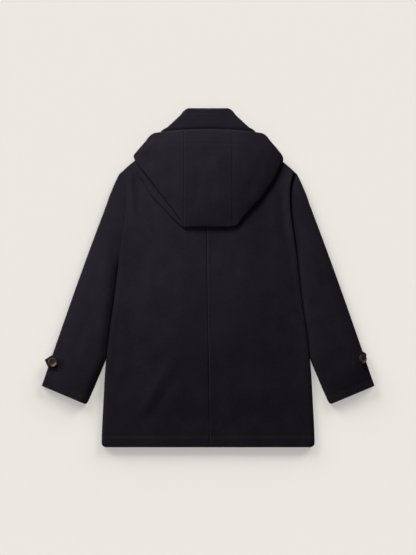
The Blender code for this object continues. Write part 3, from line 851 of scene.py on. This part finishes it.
def hood_dome(x, y):
    left, foot, right = (nearest_place(x, y, line)[0]
                         for line in (HOOD_LEFT_FOLD, HOOD_FOOT_FOLD, HOOD_RIGHT_FOLD))
    fast, slow = HOOD_RISE
    rise = rise_from(left, fast) * rise_from(foot, slow) * rise_from(right, slow)
    pressed = 1 - rise_from(foot, HOOD_EDGE_WIDTH) * rise_from(right, HOOD_EDGE_WIDTH)
    near_rim = mix(HOOD_DOME_AT_RIM, 1.0, ease((rim_y(x) - y) / HOOD_DOME_RIM))
    return HOOD_BASE + HOOD_DOME * rise * near_rim - HOOD_EDGE_DROP * pressed


def hood_relief(x, y):
    """The dome of the turned-down hood with its two seams, its stitched face edge and its folds."""
    z = hood_dome(x, y) + HOOD_SLOPE * ramp(y, *HOOD_SLOPE_Y) + 0.5 * waves(x, y, 75.0, 7)
    z = z + ridges(x - HOOD_SEAM_X, HOOD_SEAM) + ridges(x + HOOD_SEAM_X, HOOD_SEAM)
    hem = mix(*HOOD_HEM_DEPTH, ease((np.abs(x) - HOOD_SEAM_X) / 6.0))
    return z + ridge(y - rim_y(x) + HOOD_HEM_DROP, -hem, 1.6) + creases(x, y, HOOD_FOLDS)


def hood_top(x, y):
    middle = 1 - ease(np.abs(x) / HOOD_CROWN_HALF_WIDTH)
    loft = HOOD_POUCH_GAP + HOOD_CLOTH + HOOD_CROWN * middle * (1 - ramp(y, *HOOD_RIM_LOW_Y))
    return hood_floor(x, y) + loft + hood_relief(x, y)


def hood_centre(wool):
    half = HOOD_SEAM_X - SEAM_GAP / 2

    def plan(across, along):
        x = mix(-half, half, across)
        return x, mix(HOOD_FOOT_Y, rim_y(x), along)

    sheet = Sheet(plan, plain_height(hood_top), 1, HOOD_RADIUS, GRIDS["hood_centre"],
                  (no_turn, no_turn, hood_turn, fold))
    return cloth_piece("hood_centre", sheet, HOOD_CLOTH, wool)


def hood_side(side, wool):
    start_x = HOOD_SEAM_X + SEAM_GAP / 2
    edge = route(HOOD_OUTLINE[side])

    def plan(across, along):
        edge_x, edge_y = edge(along)
        x = mix(start_x, edge_x, across)
        y = mix(mix(HOOD_FOOT_Y + 0.4, rim_y(start_x), along), edge_y, across)
        return x, np.where(along > 1 - 1e-6, rim_y(x), y)

    sheet = Sheet(plan, plain_height(hood_top, side), 1, HOOD_RADIUS, GRIDS["hood_side"],
                  (no_turn, hood_turn, hood_turn, fold))
    return cloth_piece(f"hood_side_{side}", sheet, HOOD_CLOTH, wool, mirror=side == "left")


def hood_under(wool):
    """The layer that goes back under the fold to the neck seam."""
    right_edge = route(HOOD_UNDER_OUTLINE["right"])
    left_edge = route(HOOD_UNDER_OUTLINE["left"])

    def plan(across, along):
        right_x, right_y = right_edge(along)
        left_x, left_y = left_edge(along)
        level = mix(HOOD_FOOT_Y, HOOD_UNDER_TOP_Y, along) - HOOD_UNDER_LOWER
        toward_left = np.maximum(0.0, 1 - 2 * across) ** 2
        toward_right = np.maximum(0.0, 2 * across - 1) ** 2
        y = level + (left_y - level) * toward_left + (right_y - level) * toward_right
        return mix(-left_x, right_x, across), y

    sheet = Sheet(plan, plain_height(hood_floor), 1, 1.0, GRIDS["hood_under"], (no_turn,) * 4)
    return cloth_piece("hood_under", sheet, CLOTH, wool)


# ---------------------------------------------------------------- collar

def collar_side(y):
    return smooth_value(COLLAR_SIDE, y)


COLLAR_RISE = 6.5                        # the leaf stands higher towards its fold
COLLAR_STITCH_Y = COLLAR_FOLD_Y - 12.0
COLLAR_TUCK = (-2.0, 5.0)                # height, width of its dip under the hood's rim


def leaf_top(x, y):
    past_rim = y - rim_y(x)
    tuck, tuck_width = COLLAR_TUCK
    bow = 0.5 * waves(x, y, 60.0, 9) + ridge(y - COLLAR_STITCH_Y, -0.5, 1.5)
    dip = ridge(np.maximum(0.0, past_rim), tuck, tuck_width)
    slope = COLLAR_RISE * np.clip(past_rim / (COLLAR_FOLD_Y - HOOD_RIM_Y), 0, 1)
    return hood_floor(x, y) + bow + dip + slope


def collar_leaf_back(wool):
    def plan(across, along):
        y = mix(COLLAR_FOOT_Y, COLLAR_FOLD_Y, along)
        half = collar_side(y)
        return mix(-half, half, across), y

    sheet = Sheet(plan, plain_height(leaf_top), 1, LEAF_RADIUS, GRIDS["collar_leaf_back"],
                  (fold, fold, no_turn, turned_by(COLLAR_FOLD_TURN)))
    return cloth_piece("collar_leaf_back", sheet, CLOTH, wool)


def on_surface(x, y):
    return np.zeros(np.shape(x))


def collar_leaf_front(side, wool):
    def plan(across, along):
        y = mix(COLLAR_FOOT_Y, COLLAR_FOLD_Y - 3, along)
        start_x = mix(COLLAR_POINT[0], COLLAR_FRONT_FOLD[0], along)
        start_y = mix(COLLAR_POINT[1], COLLAR_FRONT_FOLD[1], along)
        return mix(start_x, collar_side(y), across), mix(start_y, y, across)

    sheet = Sheet(plan, plain_height(on_surface), -1, LEAF_RADIUS, GRIDS["collar_leaf_front"],
                  (no_turn, fold, no_turn, no_turn))
    return cloth_piece(f"collar_leaf_{side}", sheet, CLOTH, wool, mirror=side == "left")


def collar_stand_back(wool):
    def plan(across, along):
        half = mix(NECK_SIDE[0], STAND_TOP_X, along)
        x = mix(-half, half, across)
        foot = mix(NECK_BACK_Y, NECK_SIDE[1], (x / NECK_SIDE[0]) ** 2) + CURVED_SEAM_GAP
        return x, mix(foot, STAND_TOP_Y, along)

    sheet = Sheet(plan, plain_height(tube_top), 1, TUBE_RADIUS, GRIDS["collar_stand_back"],
                  (fold, fold, no_turn, no_turn))
    return cloth_piece("collar_stand_back", sheet, CLOTH, wool)


def collar_stand_front(side, wool):
    def plan(across, along):
        x = across * mix(NECK_SIDE[0], STAND_TOP_X, along) + SEAM_GAP
        foot = mix(NECK_FRONT_Y, NECK_SIDE[1], across ** 2) + CURVED_SEAM_GAP
        top = mix(COLLAR_FRONT_FOLD[1], STAND_TOP_Y, across ** 1.4)
        return x, mix(foot, top, along)

    sheet = Sheet(plan, plain_height(lift), -1, TUBE_RADIUS, GRIDS["collar_stand_front"],
                  (no_turn, fold, no_turn, no_turn))
    return cloth_piece(f"collar_stand_{side}", sheet, CLOTH, wool, mirror=side == "left")


# ---------------------------------------------------------------- cuff tabs and buttons

def outwards(side):
    return sign_of(side) * math.cos(TAB_DIRECTION), math.sin(TAB_DIRECTION)


TAB_TOP = TUBE + SEAM_GAP + TAB_CLOTH + TAB_RISE


def cuff_tab(side, button_x, button_y, reach_in, reach_out, wool):
    """A pointed strap across the sleeve, stitched round its edge, with its tip curling down a little."""
    out = outwards(side)

    def plan(across, along):
        level = 1 - across * 2
        off_tip = level - TAB_TIP[side]
        slant = np.where(off_tip > 0, TAB_POINT_ABOVE[side], TAB_POINT_BELOW[side])
        ahead = mix(-reach_in, reach_out - slant * np.abs(off_tip), along)
        aside = level * TAB_WIDTH / 2
        return button_x + out[0] * ahead - out[1] * aside, button_y + out[1] * ahead + out[0] * aside

    def height(x, y, across, along):
        level = np.abs(1 - across * 2)
        ahead = (x - button_x) * out[0] + (y - button_y) * out[1]
        edge = np.minimum(TAB_WIDTH / 2 * (1 - level), (1 - along) * (reach_in + reach_out))
        curl = TAB_CURL[side] * np.maximum(0.0, ahead / reach_out) ** 2
        return TAB_TOP + ridges(edge, (TAB_STITCH,)) - curl

    sheet = Sheet(plan, height, 1, TAB_CLOTH / 2, GRIDS["cuff_tab"], (fold, fold, no_turn, fold))
    return cloth_piece(f"cuff_tab_{side}", sheet, TAB_CLOTH, wool)


def finished_mesh(name, shape):
    mesh = bpy.data.meshes.new(name)
    shape.to_mesh(mesh)
    shape.free()
    mesh.shade_smooth()
    return mesh


def turned_mesh(name, profile, steps):
    """A profile of (radius, height) turned about its axis."""
    shape = bmesh.new()
    points = [shape.verts.new((radius * MM, 0, height * MM)) for radius, height in profile]
    edges = [shape.edges.new(pair) for pair in zip(points, points[1:])]
    bmesh.ops.spin(shape, geom=points + edges, cent=(0, 0, 0), axis=(0, 0, 1), angle=2 * math.pi,
                   steps=steps, use_merge=True)
    bmesh.ops.remove_doubles(shape, verts=shape.verts, dist=0.00001)
    bmesh.ops.recalc_face_normals(shape, faces=shape.faces)
    return finished_mesh(name, shape)


BUTTON_PROFILE = (
    # radius, height
    (0.0, 2.3),
    (4.0, 2.35),
    (6.8, 2.6),
    (7.8, 3.1),
    (8.7, 3.55),
    (9.8, 3.6),
    (10.9, 3.35),
    (11.7, 2.7),
    (12.0, 1.9),
    (11.7, 1.1),
    (10.6, 0.5),
    (8.0, 0.1),
    (0.0, 0.0),
)
THREAD_REACH = 5.4          # from the button's middle to the end of a strand
THREAD_HEIGHT = 2.75
THREAD_RADIUS = 0.5
THREAD_APART = 0.35         # two strands side by side in each bar of the cross


def button_cross(name):
    """A cross of thread on the button's face: two bars, with two strands in each."""
    strands = bmesh.new()
    size = Matrix.Diagonal((THREAD_RADIUS, THREAD_RADIUS, THREAD_REACH, 1))
    for turn in (45, 135):
        for offset in (-THREAD_APART, THREAD_APART):
            place = (Matrix.Rotation(math.radians(turn), 4, "Z")
                     @ Matrix.Translation((0, offset * MM, THREAD_HEIGHT * MM))
                     @ Matrix.Rotation(math.radians(90), 4, "Y") @ size)
            bmesh.ops.create_uvsphere(strands, u_segments=10, v_segments=8, radius=MM, matrix=place)
    return finished_mesh(name, strands)


def cuff_button(side, button_x, button_y, horn, thread):
    """A turned horn button with a raised rim, sewn on with a cross of thread, leaning outwards."""
    name = f"cuff_button_{side}_horn"
    thread_name = f"button_thread_{side}"
    button = new_piece(name, turned_mesh(name, BUTTON_PROFILE, 64), horn)
    sewn = new_piece(thread_name, button_cross(thread_name), thread)
    out = outwards(side)
    for piece in (button, sewn):
        piece.location = (button_x * MM, button_y * MM, (TAB_TOP + BUTTON_SHANK[side]) * MM)
        piece.rotation_mode = "AXIS_ANGLE"
        piece.rotation_axis_angle = (BUTTON_TILT[side], -out[1], out[0], 0)
    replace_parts(button, f"cuff_button_{side}")


# ---------------------------------------------------------------- fastenings on the front

TOGGLE_PROFILE = (
    # radius, height from the middle: one half
    (0.0, 25.0),
    (1.0, 24.9),
    (1.9, 24.3),
    (2.7, 23.0),
    (3.2, 18.0),
    (3.5, 13.5),
    (3.1, 8.0),
    (1.9, 5.4),
    (1.25, 4.0),
)


def toggle(number, y, horn):
    """A horn toggle with a waist, wider than it is thick, lying across the front."""
    below = [(radius, -height) for radius, height in reversed(TOGGLE_PROFILE)]
    name = f"toggle_{number}_horn"
    piece = new_piece(name, turned_mesh(name, list(TOGGLE_PROFILE) + below, 40), horn)
    piece.rotation_euler = (0, math.radians(90), 0)
    piece.location = (0, y * MM, TOGGLE_THICK / 2 * MM)
    piece.scale = (1, TOGGLE_WIDTH / TOGGLE_THICK, 1)
    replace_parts(piece, f"toggle_{number}")


def toggle_patch(side, number, row_y, leather):
    """A leather patch stitched down round its edge, with its outer corners cut back."""
    def plan(across, along):
        level = across * 2 - 1
        far = PATCH_FAR_X - PATCH_ROUND * np.abs(level) ** 3
        return mix(PATCH_NEAR_X, far, along), row_y - level * PATCH_HALF_HEIGHT

    def height(x, y, across, along):
        edge = np.minimum(PATCH_HALF_HEIGHT * 2 * np.minimum(across, 1 - across),
                          (PATCH_FAR_X - PATCH_NEAR_X) * np.minimum(along, 1 - along))
        return lift(x, y) - CURVED_SEAM_GAP - PATCH_THICK + ridges(edge, (PATCH_STITCH,))

    sheet = Sheet(plan, height, -1, 0.8, GRIDS["toggle_patch"], (turned_by(SEAM_TURN),) * 4)
    cloth_piece(f"toggle_patch_{side}_{number}", sheet, PATCH_THICK, leather,
                mirror=side == "left", slot="leather")


def toggle_loop(side, number, row_y, cord):
    """A doubled cord from its patch round the toggle's waist."""
    back = [(out, -aside) for out, aside in reversed(LOOP_ROUTE[:-1])]
    path = route(list(LOOP_ROUTE) + back)
    out, aside = path(np.linspace(0, 1, 60))
    height = lift(out, row_y + aside) - SEAM_GAP - CORD_RADIUS
    node = f"toggle_loop_{side}_{number}"
    curve = bpy.data.curves.new(f"{node}_cord", "CURVE")
    curve.dimensions = "3D"
    spline = curve.splines.new("POLY")
    spline.points.add(len(out) - 1)
    for point, along, off, z in zip(spline.points, out, aside, height):
        point.co = (sign_of(side) * along * MM, (row_y + off) * MM, z * MM, 1)
    curve.bevel_depth = CORD_RADIUS * MM
    curve.bevel_resolution = 4
    curve.use_fill_caps = True
    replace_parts(new_piece(curve.name, curve, cord), node)


# ---------------------------------------------------------------- stitches

STITCH = 3.2
STITCH_PITCH = 4.2
STITCH_RADIUS = 0.32
BACK_STITCHES_Y = (HEM_Y + 4.0, HOOD_FOOT_Y + 4.0)
HOOD_STITCHES_Y = (HOOD_FOOT_Y + 8.0, 378.0)
HOOD_HEM_STITCHES_X = (-158.0, HOOD_SEAM_X - 0.5)    # on the right side they don't show


def stitch_line(name, points, height, thread):
    """A run of machine stitches along plan points, lying in their groove."""
    points = np.array(points, float)
    steps = np.hypot(*np.diff(points, axis=0).T)
    lengths = np.concatenate([[0.0], np.cumsum(steps)])
    shape = bmesh.new()
    for place in np.arange(STITCH_PITCH / 2, lengths[-1], STITCH_PITCH):
        ends = []
        for shift in (-STITCH / 2, STITCH / 2):
            x = np.interp(place + shift, lengths, points[:, 0])
            y = np.interp(place + shift, lengths, points[:, 1])
            ends.append(Vector((x, y, float(height(x, y)) + STITCH_RADIUS * 0.5)) * MM)
        middle = (ends[0] + ends[1]) / 2
        turn = (ends[1] - ends[0]).to_track_quat("Z", "Y").to_matrix().to_4x4()
        size = Matrix.Diagonal((STITCH_RADIUS, STITCH_RADIUS, STITCH / 2, 1))
        bmesh.ops.create_uvsphere(shape, u_segments=6, v_segments=5, radius=MM,
                                  matrix=Matrix.Translation(middle) @ turn @ size)
    new_piece(name, finished_mesh(name, shape), thread)


def all_stitches(thread):
    along_back = np.linspace(*BACK_STITCHES_Y, 60)
    along_hood = np.linspace(*HOOD_STITCHES_Y, 40)
    across_hem = np.linspace(6, float(body_edge(HEM_LINE_Y)) - 8, 40)
    across_hood = np.linspace(*HOOD_HEM_STITCHES_X, 50)
    stitch_line("stitches_centre_back", [(seam_x(y) + BACK_STITCH, y) for y in along_back], back_top, thread)
    for side in SIDES:
        sign = sign_of(side)
        stitch_line(f"stitches_hem_{side}", [(sign * x, HEM_LINE_Y) for x in across_hem], back_top, thread)
        for part, off in (("in", -HOOD_STITCH), ("out", HOOD_STITCH)):
            run = [(sign * HOOD_SEAM_X + off, y) for y in along_hood]
            stitch_line(f"stitches_hood_{part}_{side}", run, hood_top, thread)
    face_edge = [(x, float(rim_y(x)) - HOOD_HEM_DROP) for x in across_hood]
    stitch_line("stitches_hood_hem", face_edge, hood_top, thread)


# ---------------------------------------------------------------- materials

def new_group(name, inputs, outputs):
    """An empty shader group with named inputs and outputs: (name, kind) or (name, kind, value)."""
    group = bpy.data.node_groups.new(name, "ShaderNodeTree")
    for entry in inputs:
        socket = group.interface.new_socket(entry[0], in_out="INPUT", socket_type=f"NodeSocket{entry[1]}")
        if len(entry) > 2:
            socket.default_value = entry[2]
    for socket_name, kind in outputs:
        group.interface.new_socket(socket_name, in_out="OUTPUT", socket_type=f"NodeSocket{kind}")
    start = group.nodes.new("NodeGroupInput")
    end = group.nodes.new("NodeGroupOutput")
    return group, start, end


def noise(tree, scale, detail, place, stretch=None):
    """A noise texture in the piece's own place, in repeats a metre."""
    texture = tree.nodes.new("ShaderNodeTexNoise")
    texture.inputs["Scale"].default_value = scale
    texture.inputs["Detail"].default_value = detail
    if stretch:
        mapping = tree.nodes.new("ShaderNodeMapping")
        mapping.inputs["Scale"].default_value = stretch
        tree.links.new(place, mapping.inputs["Vector"])
        place = mapping.outputs["Vector"]
    tree.links.new(place, texture.inputs["Vector"])
    return texture.outputs["Fac"]


def maths(tree, operation, first, second):
    """A sum or product of two sockets, or of a socket and a number."""
    node = tree.nodes.new("ShaderNodeMath")
    node.operation = operation
    for socket, value in zip(node.inputs, (first, second)):
        if isinstance(value, (int, float)):
            socket.default_value = value
        else:
            tree.links.new(value, socket)
    return node.outputs["Value"]


def blend(tree, part, first, second):
    node = tree.nodes.new("ShaderNodeMix")
    node.data_type = "RGBA"
    for name, socket in (("Factor", part), ("A", first), ("B", second)):
        tree.links.new(socket, node.inputs[name])
    return node.outputs["Result"]


def span(tree, value, low, high, to_low=0.0, to_high=1.0):
    """A value from low to high, spread over another range."""
    node = tree.nodes.new("ShaderNodeMapRange")
    for name, number in (("From Min", low), ("From Max", high), ("To Min", to_low), ("To Max", to_high)):
        node.inputs[name].default_value = number
    tree.links.new(value, node.inputs["Value"])
    return node.outputs["Result"]


def felted_wool_group():
    """Thick felted cloth: a brushed nap over a faint twill, in uneven clumps."""
    group, start, end = new_group(
        "felted_wool",
        (("Deep", "Color"), ("Raised", "Color"), ("Mottle", "Float", 0.5)),
        (("Colour", "Color"), ("Roughness", "Float"), ("Height", "Float")),
    )
    place = group.nodes.new("ShaderNodeTexCoord").outputs["Object"]
    clumps = noise(group, 260.0, 5.0, place)
    fibres = noise(group, 1500.0, 3.0, place, stretch=(1.0, 0.35, 1.0))
    broad = noise(group, 22.0, 2.0, place)
    twill = group.nodes.new("ShaderNodeTexWave")
    twill.bands_direction = "DIAGONAL"
    twill.inputs["Scale"].default_value = 190.0
    twill.inputs["Distortion"].default_value = 5.0
    twill.inputs["Detail"].default_value = 2.0
    twill.inputs["Detail Scale"].default_value = 3.0
    group.links.new(place, twill.inputs["Vector"])
    nap = maths(group, "ADD", maths(group, "MULTIPLY", clumps, 0.6), maths(group, "MULTIPLY", fibres, 0.4))
    tint = maths(group, "ADD", maths(group, "MULTIPLY", nap, 0.7), maths(group, "MULTIPLY", broad, 0.3))
    fleck = maths(group, "MULTIPLY", span(group, tint, 0.3, 0.7), start.outputs["Mottle"])
    colour = blend(group, fleck, start.outputs["Deep"], start.outputs["Raised"])
    group.links.new(colour, end.inputs["Colour"])
    group.links.new(span(group, nap, 0.3, 0.7, 0.86, 0.98), end.inputs["Roughness"])
    weave = maths(group, "MULTIPLY", twill.outputs["Fac"], 0.25)
    group.links.new(maths(group, "ADD", nap, weave), end.inputs["Height"])
    return group


def horn_group():
    """Polished horn: amber streaks in dark. Where that is asked for, the amber is pushed towards one side:
    painted light, a glow of light shining through the horn.
    """
    group, start, end = new_group(
        "streaked_horn",
        (("Dark", "Color"), ("Amber", "Color"), ("Streaks", "Float", 1.0), ("Pale Side", "Vector"),
         ("Shade", "Float", 0.0)),
        (("Colour", "Color"), ("Roughness", "Float"), ("Height", "Float")),
    )
    place = group.nodes.new("ShaderNodeTexCoord").outputs["Object"]
    streaks = noise(group, 60.0, 4.0, place, stretch=(1.0, 3.2, 0.8))
    wear = noise(group, 900.0, 3.0, place)
    side = group.nodes.new("ShaderNodeVectorMath")
    side.operation = "DOT_PRODUCT"
    group.links.new(place, side.inputs[0])
    group.links.new(start.outputs["Pale Side"], side.inputs[1])
    # painted light: the streaks lean towards the side given to the group, and Shade cuts them back
    # elsewhere, painting a glow on that side
    streaks = maths(group, "ADD", streaks, side.outputs["Value"])
    streaks = maths(group, "SUBTRACT", streaks, start.outputs["Shade"])
    part = maths(group, "MULTIPLY", span(group, streaks, 0.42, 0.68), start.outputs["Streaks"])
    colour = blend(group, part, start.outputs["Dark"], start.outputs["Amber"])
    group.links.new(colour, end.inputs["Colour"])
    group.links.new(span(group, wear, 0.3, 0.7, 0.38, 0.52), end.inputs["Roughness"])
    group.links.new(wear, end.inputs["Height"])
    return group


def finish(name, group, values, bump, settings):
    """A material whose colour, roughness and bump come from a group, with its own fixed settings."""
    material = bpy.data.materials.new(name)
    material.use_nodes = True
    tree = material.node_tree
    shader = tree.nodes["Principled BSDF"]
    effect = tree.nodes.new("ShaderNodeGroup")
    effect.node_tree = group
    for key, value in values.items():
        socket = effect.inputs[key]
        socket.default_value = (*value, 1) if socket.type == "RGBA" else value
    tree.links.new(effect.outputs["Colour"], shader.inputs["Base Color"])
    tree.links.new(effect.outputs["Roughness"], shader.inputs["Roughness"])
    height = tree.nodes.new("ShaderNodeBump")
    height.inputs["Strength"].default_value = bump[0]
    height.inputs["Distance"].default_value = bump[1] * MM
    tree.links.new(effect.outputs["Height"], height.inputs["Height"])
    tree.links.new(height.outputs["Normal"], shader.inputs["Normal"])
    for key, value in settings.items():
        shader.inputs[key].default_value = value
    return material


FINISHES = {
    # slot or thread: material, effect, its values, bump strength and depth, fixed settings
    "wool": (
        "felted_wool", "wool",
        {"Deep": (0.0060, 0.0049, 0.0078), "Raised": (0.0140, 0.0116, 0.0176), "Mottle": 1.0},
        (0.7, 1.2),
        {"Specular IOR Level": 0.06, "Sheen Weight": 0.01, "Sheen Roughness": 0.5,
         "Sheen Tint": (0.85, 0.86, 1.0, 1)},
    ),
    "thread": (
        "sewing_thread", "wool",
        {"Deep": (0.006, 0.0052, 0.0075), "Raised": (0.014, 0.012, 0.017), "Mottle": 1.0},
        (0.3, 0.3),
        {"Specular IOR Level": 0.3, "Sheen Weight": 0.0},
    ),
    "horn_button": (
        "horn_button", "horn",
        {"Dark": (0.019, 0.0125, 0.010), "Amber": (0.24, 0.085, 0.036), "Streaks": 0.9,
         # the side and Shade below paint light: the amber glows only at the lower right of each button, away
         # from the lamps, as light shining through the horn
         "Pale Side": (16.0, -36.0, 0.0), "Shade": 0.27},
        (0.15, 0.1),
        {"Specular IOR Level": 0.22, "Coat Weight": 0.06, "Coat Roughness": 0.3},
    ),
    "horn_toggle": (
        "horn_toggle", "horn",
        {"Dark": (0.03, 0.016, 0.009), "Amber": (0.24, 0.12, 0.045), "Streaks": 0.9},
        (0.15, 0.1),
        {"IOR": 1.54, "Coat Weight": 0.2, "Coat Roughness": 0.2},
    ),
    "leather": (
        "grained_leather", "wool",
        {"Deep": (0.010, 0.007, 0.006), "Raised": (0.024, 0.017, 0.014), "Mottle": 1.0},
        (0.5, 0.4),
        {"Specular IOR Level": 0.5, "Coat Weight": 0.1, "Coat Roughness": 0.4},
    ),
    "cord": (
        "twisted_cord", "wool",
        {"Deep": (0.008, 0.007, 0.008), "Raised": (0.022, 0.019, 0.020), "Mottle": 1.0},
        (0.8, 0.6),
        {"Specular IOR Level": 0.3},
    ),
}


def make_materials():
    groups = {"wool": felted_wool_group(), "horn": horn_group()}
    return {
        slot: finish(name, groups[effect], values, bump, settings)
        for slot, (name, effect, values, bump, settings) in FINISHES.items()
    }


# ---------------------------------------------------------------- the coat


def build_coat():
    bpy.context.scene.collection.children.link(bpy.data.collections.new("coat"))
    materials = make_materials()
    wool = materials["wool"]
    for side in SIDES:
        front = front_panel(side, wool)
        under_sleeve = sleeve_panel("under", side, wool)
        collar_stand_front(side, wool)
        collar_leaf_front(side, wool)
        back_panel(side, wool)
        sleeve_panel("top", side, wool)
    stand = collar_stand_back(wool)
    collar_leaf_back(wool)
    under_hood = hood_under(wool)
    hood_centre(wool)
    for side in SIDES:
        hood_side(side, wool)
    for side, button_x, button_y, reach_in, reach_out in TABS:
        tab = cuff_tab(side, button_x, button_y, reach_in, reach_out, wool)
        cuff_button(side, button_x, button_y, materials["horn_button"], materials["thread"])
    for number, row_y in enumerate(TOGGLE_ROWS_Y, start=1):
        toggle(number, row_y, materials["horn_toggle"])
        for side in SIDES:
            toggle_patch(side, number, row_y, materials["leather"])
            toggle_loop(side, number, row_y, materials["cord"])
    all_stitches(materials["thread"])


# ---------------------------------------------------------------- floor, light and camera

FLOOR_COLOUR = (0.860, 0.820, 0.773)
FLOOR_HALF_WIDTH = 6.0
FLOOR_GAP = 0.0005
VIEW_HEIGHT = 1.443
VIEW_CENTRE = (-0.0003, 0.0010)
CAMERA_HEIGHT = 4.6
CAMERA_SENSOR = 24.0
SUNS = (
    # name, direction it comes from, degrees up, degrees across, strength: these light the floor
    ("window_left", (-0.62, 0.78), 10.0, 30.0, 3.9),
    ("window_right", (0.60, 0.80), 10.0, 30.0, 3.5),
    ("ceiling", (0.0, 0.01), 89.0, 20.0, 1.30),
)
WORLD_STRENGTH = 0.15
LAMPS = (
    # name, place, size, strength: these light the coat
    ("near_lamp", (-0.58, 1.50, 0.86), 0.80, 56.0),
    ("side_lamp", (-1.25, 0.15, 0.28), 0.30, 12.0),
    ("fill_lamp", (0.46, -0.12, 0.60), 0.40, 0.36),
)


def make_floor():
    mesh = bpy.data.meshes.new("floor")
    shape = bmesh.new()
    bmesh.ops.create_grid(shape, x_segments=1, y_segments=1, size=FLOOR_HALF_WIDTH)
    shape.to_mesh(mesh)
    shape.free()
    floor = bpy.data.objects.new("floor", mesh)
    floor.location = (0, 0, -FLOOR_GAP)
    stage = bpy.data.collections.new("stage")
    bpy.context.scene.collection.children.link(stage)
    stage.objects.link(floor)
    material = bpy.data.materials.new("pale_floor")
    material.use_nodes = True
    shader = material.node_tree.nodes["Principled BSDF"]
    shader.inputs["Base Color"].default_value = (*FLOOR_COLOUR, 1)
    shader.inputs["Roughness"].default_value = 1.0
    shader.inputs["Specular IOR Level"].default_value = 0.0
    mesh.materials.append(material)


def add_lamp(name, light, towards, receivers):
    """A lamp that shines from the way it is said to lie, on one collection only."""
    lamp = bpy.data.objects.new(name, light)
    lamp.rotation_euler = towards.to_track_quat("Z", "Y").to_euler()
    lamp.light_linking.receiver_collection = bpy.data.collections[receivers]
    bpy.context.scene.collection.objects.link(lamp)
    return lamp


def make_light():
    for name, direction, up, across, strength in SUNS:
        sun = bpy.data.lights.new(name, "SUN")
        sun.energy = strength
        sun.angle = math.radians(across)
        level = math.cos(math.radians(up)) / math.hypot(*direction)
        towards = Vector((direction[0] * level, direction[1] * level, math.sin(math.radians(up))))
        add_lamp(name, sun, towards, "stage")

    for name, place, size, strength in LAMPS:
        soft_box = bpy.data.lights.new(name, "AREA")
        soft_box.energy = strength
        soft_box.shape = "DISK"
        soft_box.size = size
        add_lamp(name, soft_box, Vector(place), "coat").location = place

    world = bpy.data.worlds.new("room")
    world.use_nodes = True
    background = world.node_tree.nodes["Background"]
    background.inputs["Color"].default_value = (1, 1, 1, 1)
    background.inputs["Strength"].default_value = WORLD_STRENGTH
    bpy.context.scene.world = world


def make_camera():
    camera = bpy.data.cameras.new("camera")
    camera.sensor_fit = "VERTICAL"
    camera.sensor_height = CAMERA_SENSOR
    camera.lens = CAMERA_SENSOR * CAMERA_HEIGHT / VIEW_HEIGHT
    camera.clip_end = 50.0
    holder = bpy.data.objects.new("camera", camera)
    holder.location = (*VIEW_CENTRE, CAMERA_HEIGHT)
    bpy.context.scene.collection.objects.link(holder)
    bpy.context.scene.camera = holder


make_camera()
build_coat()
make_floor()
make_light()
bpy.context.scene.view_settings.view_transform = "Standard"
